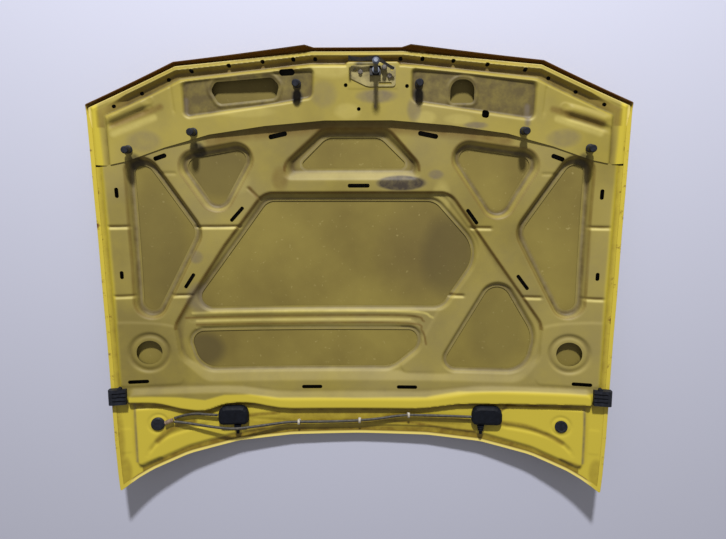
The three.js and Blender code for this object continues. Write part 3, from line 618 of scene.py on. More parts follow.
def frame_marks():
    """Where dust and dirt lie on the inner frame, and where shade and highlights are painted on it."""
    # pale band on the lips round the windows: painted highlight
    lips = [band(w, 3, 9) for w in DEEP_WINDOWS + [TOP_WINDOW]]
    lips += [band(w, 4, 12) for w in SIDE_WINDOWS + TRIANGLES]
    # painted shade on the walls that face away from the lamp, laid in brown
    wall_shade = band(BIG_TOP, -7, 2) * (Y > 480)
    wall_shade = np.maximum(wall_shade, band(HIGH_TOP, -8, 2) * (Y > 930))
    for window in SIDE_WINDOWS + TRIANGLES:
        wall_shade = np.maximum(wall_shade, 0.55 * band(window, 18, 26))
    # painted shade on the wall above each crush bead, painted highlight on the wall below it
    bead_shade = [([(x0 + 4, y + 3.5), (x1 - 4, y + 3.5)], 3.4, 0.8) for x0, y, x1 in CRUSH_BEADS]
    bead_highlight = [([(x0 + 4, y - 4.5), (x1 - 4, y - 4.5)], 4.5, 0.8) for x0, y, x1 in CRUSH_BEADS]
    # brown lines: painted shade along beads, creases and the crest, and the painted shadow of the front panel
    # across the frame's front strip
    brown_shade = traces(bead_shade + [
        ([(-593, 149), (-565, 176), (-527, 194), (-489, 202)], 13, 0.8),
        ([(-334, 215), (-240, 221)], 9, 0.8),
        ([(-334, 165), (-214, 189), (-109, 195), (30, 195)], 13, 0.8),
        ([(-29, 192), (54, 198), (152, 192), (256, 173), (341, 167)], 10, 0.9),
        ([(70, 212), (152, 216), (256, 209), (325, 201)], 9, 0.8),
        ([(414, 197), (486, 190), (545, 170), (592, 146)], 11, 0.7),
        ([(435, 250), (414, 232)], 7, 0.7),
        ([(590, 92), (640, 78)], 12, 0.8),
        ([(-302, 885), (-282, 860)], 8, 0.8),
        ([(-500, 513), (-200, 514), (140, 514), (190, 498)], 4.5, 0.8),
        ([(-470, 492), (-200, 492), (140, 492), (184, 470), (196, 430)], 4.5, 0.8),
        ([(-400, 1012), (-250, 1034), (0, 1048), (250, 1034), (400, 1010)], 24, 0.7),
    ])
    # painted shade, with dirt, in the channel between the rear floor and the hem
    channel_shade = band(REAR_PAN, -5, 13, 3) * (Y < 175) * (np.abs(X) < 640)
    # darker brown patches: the wide one behind the crest and the one at (-217, 909) are painted shade, those
    # on the side flanges a darker tone
    orange = patches([
        (0, 190, 420, 48, 0.55),
        (-217, 909, 26, 38, 0.5),
        (-706, 150, 26, 120, 0.5),
        (688, 60, 22, 50, 0.45),
        (-688, 58, 24, 56, 0.5),
    ])
    brown_shade = np.maximum.reduce([brown_shade, 0.85 * channel_shade, orange, 0.85 * wall_shade])
    # black marks; the spots at (-600, 950) and (600, 950) are the painted shadows of the outer buffers
    black = np.maximum(traces([
        ([(-640, 76), (-588, 94)], 11, 0.85),
        ([(592, 94), (642, 76)], 8, 0.5),
    ]), patches([
        (-435, 984, 24, 28, 0.9),
        (-600, 950, 22, 28, 0.85),
        (600, 950, 20, 26, 0.7),
        (440, 972, 20, 16, 0.45),
    ]))
    violet = np.maximum(traces([
        ([(650, 250), (652, 189), (651, 90)], 6, 0.8),
        ([(-653, 262), (-653, 200), (-652, 90)], 6, 0.7),
        ([(201, 695), (157, 752)], 7, 0.4),
    ]), patches([
        (-516, 753, 30, 90, 0.75),
        (-457, 571, 40, 52, 0.6),
        (-459, 692, 22, 22, 0.6),
        (213, 920, 24, 15, 0.7),
        (120, 897, 78, 26, 0.5),
    ]))
    # painted highlights on the walls below the beads and along the middle ribs, and two lighter patches
    bright = np.maximum(traces(bead_highlight + [
        ([(-480, 527), (-200, 528), (150, 527), (214, 510)], 5, 0.8),
        ([(-470, 503), (150, 503)], 4, 0.5),
        ([(-470, 481), (-200, 482), (120, 482)], 4, 0.6),
    ]), patches([
        (230, 850, 30, 60, 0.35),
        (-350, 900, 60, 40, 0.25),
    ]))
    pale = 0.6 * np.maximum.reduce(lips)
    marks = {"brown_shade": brown_shade, "black": black, "violet": violet, "bright": bright, "pale": pale}
    return {"clean": clean_field(), **marks}


def panel_marks():
    """Where dust and dirt lie on the front panel, and where shade and highlights are painted on it."""
    d = distance(rounded(NOSE_EDGE))
    front = Y > 1045
    # darker in the pockets
    pocket = np.maximum(*[step(distance(rounded(w)), 1, 8) for w in (LEFT_POCKET, RIGHT_POCKET)])
    # cream band along the nose edge: painted highlight
    nose_highlight = step(d, 13, 9) * front
    # painted shade on the strip behind the nose slope and on the upper sides of the wing beads, laid in brown
    shade = np.clip(np.minimum((d - 22) / 4, (44 - d) / 4), 0, 1) * front
    brown_shade = np.maximum(0.5 * shade, traces([
        ([(-645, 1050), (-521, 1097)], 12, 0.75),
        ([(512, 1088), (635, 1050)], 12, 0.75),
        ([(-200, 1190), (-168, 1192)], 12, 0.6),
    ]))
    # black: painted shadows of the buffers and painted shade in the catch's recess
    black = patches([
        (20, 1202, 34, 16, 0.9),
        (-161, 1122, 17, 26, 1.0),
        (160, 1126, 17, 26, 1.0),
        (-157, 1168, 24, 12, 0.35),
        (-600, 955, 20, 26, 0.8),
        (600, 955, 18, 24, 0.7),
    ])
    # grey-violet marks; the line at x 46 is the painted shadow of the striker pin, and the patch at (49,
    # 1124) below the lock is painted shade
    violet = np.maximum(traces([
        ([(447, 1096), (449, 1052)], 10, 0.9),
        ([(46, 1179), (46, 1097)], 5, 0.8),
        ([(-455, 1116), (-458, 1082)], 8, 0.6),
    ]), patches([
        (49, 1124, 60, 20, 0.8),
        (149, 1091, 22, 36, 0.6),
        (314, 1049, 36, 10, 0.8),
        (-570, 1009, 50, 32, 0.45),
        (545, 1014, 50, 28, 0.5),
        (-90, 1130, 40, 40, 0.35),
    ]))
    # painted highlights on the lower sides of the wing beads, and lighter patches
    bright = np.maximum(traces([
        ([(-645, 1028), (-540, 1070)], 12, 0.6),
        ([(525, 1064), (635, 1026)], 12, 0.6),
    ]), patches([
        (-28, 1086, 40, 24, 0.35),
        (178, 1069, 34, 20, 0.4),
        (267, 1065, 44, 16, 0.35),
        (-70, 1195, 70, 30, 0.4),
        (-300, 1085, 90, 16, 0.3),
    ]))
    marks = {"brown_shade": brown_shade, "black": black, "violet": violet, "bright": bright}
    return {"clean": clean_field(), "pocket": pocket, "nose_highlight": nose_highlight, **marks}


def panel_form():
    """Height of the front inner panel over the skin, its side drop included."""
    d = distance(rounded(NOSE_EDGE))
    side = np.clip((np.abs(X) - 600) / 60, 0, 1)
    slope = np.interp(d, [10, 12.5, 22, 24, 30], [FLANGE - 4, FLANGE, SLOPE, SLOPE, STRIP])
    slope = slope + SLOPE_RISE * (1 - side) * np.interp(d, [12.5, 22, 24, 30], [0, 1, 1, 0])
    form = np.full(X.shape, FLANGE, float)
    form = np.where(d > 10, np.maximum(form, slope), form)
    form = np.where(d > 30, STRIP, form)
    form = np.maximum(form, np.where(d > 41, np.interp(d, [41, 42, 52], [STRIP - 4, STRIP, PANEL]), LOW))
    for corners in (LEFT_POCKET, RIGHT_POCKET):
        p = distance(rounded(corners))
        form = np.where(p > 0, np.minimum(form, np.interp(p, [0, 8], [PANEL, POCKET])), form)
    # beads on the wings, creases beside the pockets and rolled lips round their windows
    for wing in WING_BEADS:
        form = line_bead(form, wing, 26, -5, 20)
        form = line_bead(form, [(x, y - 20) for x, y in wing], 18, 4, 20)
    for crease in POCKET_CREASES:
        form = line_bead(form, crease, 10, 1.8, 10)
    for window, width, height in zip(POCKET_WINDOWS, (14, 12), (3, 2.4)):
        form = form + np.interp(distance(rounded(window)), [-width, -width / 2, -1], [0, height, 0])
    drop = SIDE_DROP * np.clip((np.abs(X) - 230) / 300, 0, 1) * np.clip(np.maximum((d - 30) / 8, side), 0, 1)
    form = form - drop * np.clip((form - STRIP) / 10, 0, 1)
    return seat_rise(form, LOCK_SEAT, PANEL + 1) + curl(X, Y)


def sample(field, x, y):
    """Field value at plan points, between its grid points."""
    fx = np.clip((x - XS[0]) / PITCH, 0, len(XS) - 1.001)
    fy = np.clip((y - YS[0]) / PITCH, 0, len(YS) - 1.001)
    ix, iy = fx.astype(int), fy.astype(int)
    tx, ty = fx - ix, fy - iy
    low = field[iy, ix] * (1 - tx) + field[iy, ix + 1] * tx
    high = field[iy + 1, ix] * (1 - tx) + field[iy + 1, ix + 1] * tx
    return low * (1 - ty) + high * ty


def resampled(points, spacing):
    """Closed line with extra points so that no edge is longer than the spacing."""
    out = []
    for a, b in zip(points, np.roll(points, -1, axis=0)):
        n = max(1, math.ceil(np.linalg.norm(b - a) / spacing))
        out += [a + (b - a) * k / n for k in range(n)]
    return np.array(out)


def within(points, loops):
    """Even and odd crossings of the loops: True between the outer one and the holes."""
    x, y = points[:, 0], points[:, 1]
    inside = np.zeros(len(points), bool)
    for loop in loops:
        for (ax, ay), (bx, by) in zip(loop, np.roll(loop, -1, axis=0)):
            if ay == by:
                continue
            hit = ((ay <= y) & (y < by)) | ((by <= y) & (y < ay))
            inside[hit] ^= x[hit] > ax + (y[hit] - ay) * (bx - ax) / (by - ay)
    return inside


def new_piece(name, points, faces, marks):
    """Smooth mesh object with its marks as point attributes."""
    mesh = bpy.data.meshes.new(name)
    mesh.from_pydata(points.tolist(), [], faces)
    for key, values in marks.items():
        mesh.attributes.new(key, "FLOAT", "POINT").data.foreach_set("value", values.astype(np.float32))
    mesh.polygons.foreach_set("use_smooth", [True] * len(mesh.polygons))
    piece = bpy.data.objects.new(name, mesh)
    bpy.context.scene.collection.objects.link(piece)
    mesh.set_sharp_from_angle(angle=math.radians(50))
    return piece


LOOP_EDGE = 3.2


def sheet_mesh(name, form, loops, fine, coarse, fields, fine_from=math.inf):
    """Pressed sheet over the loops: dense where the form bends, with a cut edge all round."""
    form = blur(form, 1.8)
    bend = sum(np.abs(np.gradient(np.gradient(form, axis=k), axis=k)) for k in (0, 1))
    busy = blur(bend, 3.2) > 0.012
    for field in fields.values():
        busy |= blur(np.hypot(*np.gradient(field)), 3.2) > 0.012
    sharp = (blur(bend, 1.6) > 0.06) & (Y > fine_from)
    loops = [resampled(p, LOOP_EDGE) for p in loops]
    near = np.zeros(X.shape, bool)
    for loop in loops:
        for x, y in resampled(loop, PITCH):
            i, j = round((y - YS[0]) / PITCH), round((x - XS[0]) / PITCH)
            near[max(0, i - 1) : i + 2, max(0, j - 1) : j + 2] = True
    dense = max(1, round(fine / PITCH))
    wide = dense * max(1, round(coarse / PITCH / dense))
    pick = np.zeros(X.shape, bool)
    pick[::dense, ::dense] = busy[::dense, ::dense]
    pick[::wide, ::wide] = True
    pick |= sharp
    pick &= ~near
    inner = np.stack([X[pick], Y[pick]], 1).astype(float)
    inner = inner[within(inner, loops)]
    plan = np.vstack(loops + [inner])
    edges, start = [], 0
    for loop in loops:
        n = len(loop)
        edges += [(start + k, start + (k + 1) % n) for k in range(n)]
        start += n
    made = delaunay_2d_cdt([Vector(p) for p in plan], edges, [], 0, 1e-5, False)
    plan = np.array([tuple(v) for v in made[0]])
    tris = np.array(made[2])
    tris = tris[within(plan[tris].mean(1), loops)]
    z = crown(plan[:, 0], plan[:, 1]) + sample(form, plan[:, 0], plan[:, 1])
    used, back = np.unique(tris, return_inverse=True)
    plan, z, tris = plan[used], z[used], back.reshape(-1, 3)
    # sides that only one triangle has, and below each of their points one for the cut edge
    sides = {side: True for t in tris for side in ((t[0], t[1]), (t[1], t[2]), (t[2], t[0]))}
    rim_edges = [(a, b) for a, b in sides if (b, a) not in sides]
    below = {}
    for a, b in rim_edges:
        for v in (a, b):
            below.setdefault(v, len(plan) + len(below))
    order = sorted(below, key=below.get)
    both = np.vstack([plan, plan[order]])
    points = to_frame(both[:, 0], both[:, 1], np.append(z, z[order] - SHEET))
    faces = tris.tolist() + [[b, a, below[a], below[b]] for a, b in rim_edges]
    fields = {"hollow": blur(form, 14) - form, **fields}
    marks = {key: sample(field, both[:, 0], both[:, 1]) for key, field in fields.items()}
    return new_piece(name, points, faces, marks)


def outer_skin():
    """Skin with its inner face, folded hem and standing nose lip."""
    full, slim = rounded(EDGE, HEM_WIDTH), rounded(EDGE, 2.6)
    nose = np.clip((full[:, 1] - 1080) / 14, 0, 1)[:, None]
    fold = full + (slim - full) * nose
    # section of the edge: line in the plan and height, from the outer face round to the inner one
    stations = [
        (rounded(EDGE, 16), OUTER_FACE),
        (rounded(EDGE, 5), 1.2),
        (rounded(EDGE, 2), 3.6),
        (rounded(EDGE, 0.5), 6),
        (rounded(EDGE, 0), 8),
        (rounded(EDGE, 0.2), 9.6),
        (rounded(EDGE, 0.9), HEM_TOP),
        (0.5 * (rounded(EDGE, 0.9) + fold), HEM_TOP),
        (fold, HEM_TOP),
        (fold, HEM_TOP - SKIN),
        (rounded(EDGE, 1.6), HEM_TOP - SKIN),
        (rounded(EDGE, 0.9), 7),
        (rounded(EDGE, 5.6), 2.1),
        (rounded(EDGE, 16), 0),
    ]
    base = stations[0][0]
    spans = [max(1, math.ceil(np.linalg.norm(b - a) / 12)) for a, b in zip(base, np.roll(base, -1, axis=0))]
    rings = []
    for line, h in stations:
        pts = []
        for a, b, n in zip(line, np.roll(line, -1, axis=0), spans):
            pts += [a + (b - a) * k / n for k in range(n)]
        pts = np.array(pts)
        z = crown(pts[:, 0], pts[:, 1]) + h + curl(pts[:, 0], pts[:, 1])
        rings.append(np.column_stack([pts, z]))
    n = len(rings[0])
    verts = np.vstack(rings)
    faces = []
    for k in range(len(rings) - 1):
        for i in range(n):
            j = (i + 1) % n
            faces.append([k * n + i, k * n + j, (k + 1) * n + j, (k + 1) * n + i])
    # the two faces inside the first and the last ring
    for k, h in ((0, OUTER_FACE), (len(rings) - 1, 0)):
        loop = rings[k][:, :2]
        grid = np.stack([X[::4, ::4].ravel(), Y[::4, ::4].ravel()], 1).astype(float)
        grid = grid[within(grid, [rounded(EDGE, 20)])]
        plan = np.vstack([loop, grid])
        edges = [(i, (i + 1) % n) for i in range(n)]
        made = delaunay_2d_cdt([Vector(p) for p in plan], edges, [], 0, 1e-7, True)
        plan = np.array([tuple(v) for v in made[0]])
        tris = np.array(made[2])
        tris = tris[within(plan[tris].mean(1), [loop])]
        origin = [o[0] if len(o) else -1 for o in made[3]]
        ids, extra = [], []
        for v, (x, y) in enumerate(plan):
            if 0 <= origin[v] < n:
                ids.append(k * n + origin[v])
            else:
                ids.append(len(verts) + len(extra))
                extra.append((x, y, crown(x, y) + h + curl(x, y)))
        verts = np.vstack([verts, np.array(extra)])
        ids = np.array(ids)
        tris = ids[tris]
        faces += tris.tolist() if k else tris[:, ::-1].tolist()
    x, y = verts[:, 0], verts[:, 1]
    openings = WINDOWS + POCKET_WINDOWS + [disc(*place, 37) for place in ROUND_HOLES]
    seen = np.maximum.reduce([distance(rounded(w)) for w in openings])
    inset = sample(distance(rounded(EDGE)), x, y)
    rear = step(y, 215, 190) * step(np.abs(x), 680, 660)
    # painted shade on the skin seen through the windows
    skin_shade = patches([
        (-455, 415, 70, 60, 0.75),
        (-385, 925, 110, 90, 0.5),
        (-560, 720, 90, 220, 0.35),
        (400, 480, 100, 140, 0.3),
        (255, 690, 90, 140, 0.5),
    ])
    marks = {
        # painted shade on the skin where the frame covers it
        "under_frame_shade": step(-sample(seen, x, y), 2, 12),
        # painted shade in brown on the inner face of the nose lip
        "lip_shade": step(y, 1085, 1104) * step(inset, 22, 16),
        "rear": rear,
        # painted shade in the hem's channel at the rear
        "channel_shade": rear * np.interp(inset, [6.2, 10.4], [0, 1]),
        "skin_shade": sample(skin_shade, x, y),
    }
    return new_piece("outer_skin_sheet", to_frame(x, y, verts[:, 2]), faces, marks)


# Materials
def srgb(r, g, b):
    """Linear colour with alpha from screen values of 0 to 255."""
    lin = [(c / 255 / 12.92) if c <= 10 else ((c / 255 + 0.055) / 1.055) ** 2.4 for c in (r, g, b)]
    return (*lin, 1.0)


class Nodes:
    """Short names for building a material's node tree."""

    def __init__(self, name):
        self.material = bpy.data.materials.new(name)
        self.material.use_nodes = True
        self.tree = self.material.node_tree
        self.shader = self.tree.nodes["Principled BSDF"]
        self.place = self.tree.nodes.new("ShaderNodeTexCoord").outputs["Object"]

    def add(self, kind, **values):
        node = self.tree.nodes.new(kind)
        for key, value in values.items():
            setattr(node, key, value)
        return node

    def link(self, a, b):
        self.tree.links.new(a, b)

    def value(self, socket, given):
        if isinstance(given, bpy.types.NodeSocket):
            self.link(given, socket)
        else:
            socket.default_value = given

    def math(self, kind, a, b=0.0, clamp=False):
        node = self.add("ShaderNodeMath", operation=kind, use_clamp=clamp)
        self.value(node.inputs[0], a)
        self.value(node.inputs[1], b)
        return node.outputs[0]

    def noise(self, scale, detail=4.0, rough=0.55):
        node = self.add("ShaderNodeTexNoise")
        node.inputs["Scale"].default_value = scale
        node.inputs["Detail"].default_value = detail
        node.inputs["Roughness"].default_value = rough
        self.link(self.place, node.inputs["Vector"])
        return node.outputs["Fac"]

    def ramp(self, given, low, high, to_low=0.0, to_high=1.0):
        node = self.add("ShaderNodeMapRange")
        self.value(node.inputs["Value"], given)
        node.inputs["From Min"].default_value = low
        node.inputs["From Max"].default_value = high
        node.inputs["To Min"].default_value = to_low
        node.inputs["To Max"].default_value = to_high
        return node.outputs[0]

    def mix(self, factor, a, b):
        node = self.add("ShaderNodeMix", data_type="RGBA")
        self.value(node.inputs["Factor"], factor)
        self.value(node.inputs["A"], a)
        self.value(node.inputs["B"], b)
        return node.outputs["Result"]

    def attribute(self, name):
        return self.add("ShaderNodeAttribute", attribute_name=name).outputs["Fac"]

    def split(self):
        node = self.add("ShaderNodeSeparateXYZ")
        self.link(self.place, node.inputs[0])
        return node.outputs

    def spot(self, x, y, rx, ry):
        """1 at a plan place, falling to 0 at the given reach."""
        sx, sy, _ = self.split()
        dx = self.math("DIVIDE", self.math("SUBTRACT", sx, x * MM), rx * MM)
        dy = self.math("DIVIDE", self.math("SUBTRACT", sy, (y + PLAN_Y) * MM), ry * MM)
        d = self.math("ADD", self.math("MULTIPLY", dx, dx), self.math("MULTIPLY", dy, dy))
        return self.math("SUBTRACT", 1.0, d, clamp=True)

    def bump(self, height, strength, reach=0.001):
        node = self.add("ShaderNodeBump")
        node.inputs["Strength"].default_value = strength
        node.inputs["Distance"].default_value = reach
        self.link(height, node.inputs["Height"])
        self.link(node.outputs[0], self.shader.inputs["Normal"])


# Paint, and the last two are painted highlights on it
YELLOW = srgb(200, 181, 60)
OUTER_YELLOW = srgb(204, 184, 66)
REAR_YELLOW = srgb(238, 218, 118)
CREAM_HIGHLIGHT = srgb(226, 206, 116)
BRIGHT_HIGHLIGHT = srgb(202, 187, 106)
# Dust and dirt, and the tones of painted shade and highlight
DULL = srgb(128, 114, 56)
DUST = srgb(145, 131, 76)
PALE_LIP_HIGHLIGHT = srgb(158, 145, 108)
POCKET_DARK = srgb(94, 81, 44)
SKIN_DUST, SKIN_DUST_LIGHT = srgb(117, 102, 44), srgb(140, 125, 57)
SKIN_SHADE_DARK, SKIN_SHADE_DIM = srgb(98, 82, 44), srgb(82, 70, 36)
SPECK = srgb(186, 170, 110)
VIOLET = srgb(112, 100, 84)
HOLLOW_GRIME_SHADE = srgb(72, 54, 20)
BROWN_SHADE = srgb(104, 76, 18)
LIP_SHADE_BROWN = srgb(104, 68, 22)
RUST = srgb(96, 52, 24)
GREASE = srgb(52, 42, 36)
BLACK = srgb(26, 20, 14)
UNDER_FRAME_SHADE = srgb(24, 19, 10)


def inner_paint(name, dustiness):
    """Yellow paint under engine bay dust, cleaner behind the crest and on the flanges, with the marks'
    painted shade and highlights laid over it.
    """
    n = Nodes(name)
    sx = n.split()[0]
    clean = n.attribute("clean")
    patchy = n.noise(7, 5, 0.6)
    dusty = n.math("ADD", dustiness, n.ramp(patchy, 0.35, 0.65, -0.1, 0.1))
    dirty = n.math("SUBTRACT", dusty, clean, clamp=True)
    colour = n.mix(dirty, YELLOW, n.mix(n.ramp(n.noise(2.2, 3), 0.4, 0.62), DULL, DUST))
    hollow = n.attribute("hollow")
    broken = n.ramp(n.noise(34, 5, 0.62), 0.32, 0.62, 0.62, 1.0)

    def marked(colour, key, tone):
        """Tone laid over the colour where the mark is, broken up by noise."""
        return n.mix(n.math("MULTIPLY", n.attribute(key), broken, clamp=True), colour, tone)

    # painted highlight on the window lips, a darker tone in the pockets, and painted highlights
    colour = marked(colour, "pale", PALE_LIP_HIGHLIGHT)
    colour = marked(colour, "pocket", POCKET_DARK)
    colour = marked(colour, "bright", BRIGHT_HIGHLIGHT)
    # grime and painted shade in the hollows, brown where the paint is clean
    soil = n.ramp(n.noise(30, 4), 0.3, 0.7, 0.45, 0.9)
    soiled_and_shaded = n.math("MULTIPLY", n.ramp(hollow, 0.8, 5.5), soil, clamp=True)
    colour = n.mix(soiled_and_shaded, colour, n.mix(clean, HOLLOW_GRIME_SHADE, BROWN_SHADE))
    # painted shade in brown, grey-violet marks with painted shadows in them, black marks and painted shadows,
    # and the cream painted highlight
    colour = marked(colour, "brown_shade", BROWN_SHADE)
    colour = marked(colour, "violet", VIOLET)
    colour = marked(colour, "black", BLACK)
    colour = n.mix(n.attribute("nose_highlight"), colour, CREAM_HIGHLIGHT)
    smear = n.ramp(n.noise(60, 3), 0.3, 0.6, 0.6, 0.95)
    grease = n.math("MULTIPLY", n.ramp(n.spot(118, 897, 72, 22), 0.0, 0.35), smear)
    colour = n.mix(grease, colour, GREASE)
    edge = n.ramp(n.math("ABSOLUTE", sx), 0.696, 0.706)
    flecks = n.math("MULTIPLY", edge, n.ramp(n.noise(38, 6, 0.7), 0.58, 0.64), clamp=True)
    colour = n.mix(flecks, colour, RUST)
    n.link(colour, n.shader.inputs["Base Color"])
    n.link(n.ramp(dirty, 0.0, 1.0, 0.36, 0.62), n.shader.inputs["Roughness"])
    n.bump(n.noise(260, 4), 0.12, 0.0006)
    return n.material


def skin_paint():
    """Outer skin: gloss outside and on the hem, dusty on its inner face, with painted shade laid over both.
    """
    n = Nodes("bonnet_skin_paint")
    sx, sy, sz = n.split()
    # height over the crown, as crown() gives it but in metres
    u2 = n.math("MULTIPLY", sx, sx)
    v = n.math("SUBTRACT", sy, (580 + PLAN_Y) * MM)
    fourth = n.math("MULTIPLY", n.math("MULTIPLY", u2, u2), 0.0874)
    across = n.math("ADD", n.math("MULTIPLY", u2, 0.075), fourth)
    form = n.math("ADD", across, n.math("MULTIPLY", n.math("MULTIPLY", v, v), 0.09))
    height = n.math("SUBTRACT", n.math("SUBTRACT", sz, form), BASE_Z * MM)
    inner = n.math("MULTIPLY", n.ramp(height, -0.0006, -0.0003), n.ramp(height, 0.0036, 0.0026))
    shade = n.ramp(n.noise(3.1, 4), 0.36, 0.64)
    dust_and_shade = n.mix(shade, SKIN_DUST, SKIN_DUST_LIGHT)
    # painted shade: a darker patch in the main window, the patches seen through the windows, the skin under
    # the frame, and the brown nose lip
    dust_and_shade = n.mix(n.ramp(n.spot(190, 700, 160, 190), 0.0, 1.0, 0.0, 0.45), dust_and_shade, SKIN_SHADE_DARK)
    specks = n.ramp(n.noise(90, 3, 0.6), 0.66, 0.72, 0.0, 0.35)
    dust_and_shade = n.mix(specks, dust_and_shade, SPECK)
    dust_and_shade = n.mix(n.attribute("skin_shade"), dust_and_shade, SKIN_SHADE_DIM)
    dust_and_shade = n.mix(n.attribute("under_frame_shade"), dust_and_shade, UNDER_FRAME_SHADE)
    front = n.ramp(sy, (1225 + PLAN_Y) * MM, (1245 + PLAN_Y) * MM)
    edge = n.math("MAXIMUM", n.ramp(n.math("ABSOLUTE", sx), 0.699, 0.714), front)
    flecks = n.math("MULTIPLY", edge, n.ramp(n.noise(30, 6, 0.7), 0.56, 0.64), clamp=True)
    # outside: the rear's paler yellow, painted shade in the rear channel and on the nose lip, and rust flecks
    outer = n.mix(n.attribute("rear"), OUTER_YELLOW, REAR_YELLOW)
    outer = n.mix(n.attribute("channel_shade"), outer, BROWN_SHADE)
    outer = n.mix(flecks, outer, RUST)
    outer = n.mix(n.attribute("lip_shade"), outer, LIP_SHADE_BROWN)
    dust_and_shade = n.mix(n.attribute("lip_shade"), dust_and_shade, LIP_SHADE_BROWN)
    n.link(n.mix(inner, outer, dust_and_shade), n.shader.inputs["Base Color"])
    n.link(n.ramp(inner, 0, 1, 0.28, 0.6), n.shader.inputs["Roughness"])
    n.bump(n.noise(180, 4), 0.08, 0.0006)
    return n.material


def simple(name, colour, rough, metal=0.0, speckle=None, scale=120, bump=0.1, shine=0.5):
    """Plain moulded or machined surface with a fine mottle."""
    n = Nodes(name)
    other = speckle or tuple(c * 1.6 for c in colour[:3]) + (1.0,)
    mottle = n.ramp(n.noise(scale, 5, 0.6), 0.4, 0.7)
    n.link(n.mix(mottle, colour, other), n.shader.inputs["Base Color"])
    sheen = n.ramp(n.noise(scale * 1.7, 3), 0.3, 0.7, rough - 0.08, rough + 0.08)
    n.link(sheen, n.shader.inputs["Roughness"])
    n.shader.inputs["Metallic"].default_value = metal
    n.shader.inputs["Specular IOR Level"].default_value = shine
    n.bump(n.noise(scale * 4, 3), bump, 0.0004)
    return n.material


# Pieces
frame_paint = inner_paint("frame_paint", 0.9)
panel_paint = inner_paint("panel_paint", 0.72)
# Spacing of a sheet's points in millimetres, where it bends and where it is plain
FINE, COARSE = 3.2, 12.8


def run_of(line, keep):
    """The one unbroken run of a closed line's points that is kept."""
    first = next(k for k in range(len(line)) if keep[k] and not keep[k - 1])
    return np.roll(line, -first, axis=0)[: keep.sum()]


front_line = np.array([(x, y + (-1.5 if abs(x) > 650 else 13)) for x, y in PANEL_REAR], float)
outline = resampled(rounded(EDGE, 3.2), 3)
frame_loops = [np.vstack([run_of(outline, outline[:, 1] < FRAME_FRONT), front_line])]
frame_loops += [rounded(corners) for corners in WINDOWS + SLOTS]
frame_loops += [rounded(disc(*place, 35)) for place in ROUND_HOLES]
frame_loops += [rounded(disc(*place, 14)) for place in GROMMETS]
pressing = sheet_mesh("inner_frame_pressing", frame_form(), frame_loops, FINE, COARSE, frame_marks())
pressing.data.materials.append(frame_paint)
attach(pressing, "bonnet")
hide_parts("inner_frame")

outline = resampled(rounded(PANEL_EDGE, 0.4), 3)
panel_loops = [np.vstack([run_of(outline, outline[:, 1] > PANEL_BACK), np.array(PANEL_REAR[::-1], float)])]
panel_loops += [rounded(corners) for corners in POCKET_WINDOWS + PANEL_SLOTS]
for x, y, deg in STRIP_HOLES:
    for side in (1, -1):
        a = math.radians(deg * side)
        dx, dy = math.cos(a) * STRIP_HOLE_REACH, math.sin(a) * STRIP_HOLE_REACH
        hole = bar(side * x - dx, y - dy, side * x + dx, y + dy, STRIP_HOLE_WIDTH)
        panel_loops.append(rounded(hole, 0, 20))
panel_loops += [rounded(disc(*hole)) for hole in PANEL_HOLES]
panel = sheet_mesh("front_panel_pressing", panel_form(), panel_loops, FINE, COARSE, panel_marks(), 1085)
panel.data.materials.append(panel_paint)
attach(panel, "bonnet")
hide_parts("front_inner_panel")

skin = outer_skin()
skin.data.materials.append(skin_paint())
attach(skin, "bonnet")
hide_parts("outer_skin")

# The other nodes keep the CAD's form and get the material of their slot, or one of their own
MATERIALS = {
    "rubber": simple("buffer_rubber", srgb(20, 22, 30), 0.6, speckle=srgb(36, 39, 50), shine=0.3),
    "black_plastic": simple("nozzle_plastic", srgb(10, 13, 22), 0.6, speckle=srgb(18, 22, 32), shine=0.2),
    "black_steel": simple("catch_steel", srgb(20, 20, 22), 0.6, 0.1, speckle=srgb(46, 38, 30), shine=0.3),
    "steel": simple("zinc_steel", srgb(150, 145, 138), 0.42, 0.7, speckle=srgb(110, 98, 84)),
    "hose": simple("hose_rubber", srgb(44, 42, 40), 0.55, speckle=srgb(80, 74, 60)),
    "pale_plastic": simple("clip_plastic", srgb(196, 190, 178), 0.4, speckle=srgb(150, 140, 120)),
}
OWN = {
    "striker_plate": simple("plate_paint", srgb(166, 153, 100), 0.6, speckle=srgb(124, 112, 74), scale=45),
    "striker_pin": simple("pin_steel", srgb(96, 103, 118), 0.5, 0.3, speckle=srgb(66, 68, 76)),
    "hose_connector": simple("connector_plastic", srgb(146, 124, 104), 0.5, speckle=srgb(96, 78, 62)),
}
for name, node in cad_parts.items():
    if node.hide_render:
        continue
    for slot in node.material_slots:
        key = slot.material.name.split(".")[0] if slot.material else ""
        slot.material = OWN.get(name) or MATERIALS.get(key) or slot.material

# Floor, lights and camera
floor_mesh = bpy.data.meshes.new("studio_floor")
FLOOR_HALF = 9
floor_corners = [(x * FLOOR_HALF, y * FLOOR_HALF, 0) for x, y in ((-1, -1), (1, -1), (1, 1), (-1, 1))]
floor_mesh.from_pydata(floor_corners, [], [(0, 1, 2, 3)])
floor = bpy.data.objects.new("studio_floor", floor_mesh)
bpy.context.scene.collection.objects.link(floor)
floor_paint = Nodes("studio_floor")
reach = floor_paint.add("ShaderNodeVectorMath", operation="LENGTH")
floor_paint.link(floor_paint.place, reach.inputs[0])
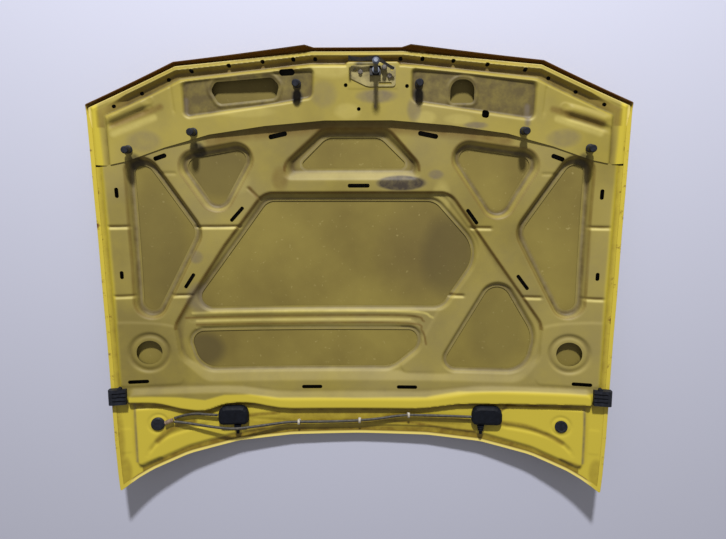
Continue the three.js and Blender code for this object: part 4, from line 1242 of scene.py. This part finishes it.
# the floor is painted darker away from the middle: painted falloff of the light
NEAR_TONE, FAR_SHADE_TONE = srgb(197, 199, 218), srgb(140, 142, 156)
far_shade = floor_paint.ramp(reach.outputs["Value"], 1.6, 3.4)
floor_tone = floor_paint.mix(far_shade, NEAR_TONE, FAR_SHADE_TONE)
floor_paint.link(floor_tone, floor_paint.shader.inputs["Base Color"])
floor_paint.shader.inputs["Roughness"].default_value = 0.9
floor.data.materials.append(floor_paint.material)

KEY_TILT = math.radians(54)
KEY_FAR = 4.5
lamp = bpy.data.objects.new("key_lamp", bpy.data.lights.new("key_lamp", "AREA"))
lamp.data.shape = "DISK"
lamp.data.size = 0.36
lamp.data.energy = 250
lamp.location = Vector((0.0, math.sin(KEY_TILT), math.cos(KEY_TILT))) * KEY_FAR
lamp.rotation_euler = (-KEY_TILT, 0, 0)
bpy.context.scene.collection.objects.link(lamp)

world = bpy.data.worlds.new("studio")
bpy.context.scene.world = world
world.use_nodes = True
sky = world.node_tree.nodes["Background"].inputs
sky["Color"].default_value = (1.0, 0.97, 0.92, 1)
sky["Strength"].default_value = 0.26

camera = bpy.data.objects.new("camera", bpy.data.cameras.new("camera"))
bpy.context.scene.collection.objects.link(camera)
# Camera of the photograph: eye in plan millimetres, turns in degrees, lens for its width in pixels
EYE = (30.6, 921.7, 1569.6)
PITCH_DEG, YAW_DEG, ROLL_DEG = 9.8446, -0.6914, -0.1333
LENS_PIXELS, PHOTO_WIDTH = 550, 726
SENSOR = 36
camera.data.sensor_width = SENSOR
camera.data.lens = LENS_PIXELS / PHOTO_WIDTH * SENSOR
pitch, yaw, roll = math.radians(PITCH_DEG), math.radians(YAW_DEG), math.radians(ROLL_DEG)
look = Vector((math.sin(yaw) * math.cos(pitch), -math.sin(pitch), -math.cos(pitch) * math.cos(yaw)))
look.normalize()
right = look.cross(Vector((0, 1, 0))).normalized()
up = right.cross(look)
across = right * math.cos(roll) + up * math.sin(roll)
upward = up * math.cos(roll) - right * math.sin(roll)
eye = Vector((EYE[0], EYE[1] + PLAN_Y, EYE[2] + BASE_Z)) * MM
camera.matrix_world = Matrix.Translation(eye) @ Matrix((across, upward, -look)).transposed().to_4x4()
bpy.context.scene.camera = camera
bpy.context.scene.view_settings.view_transform = "Standard"
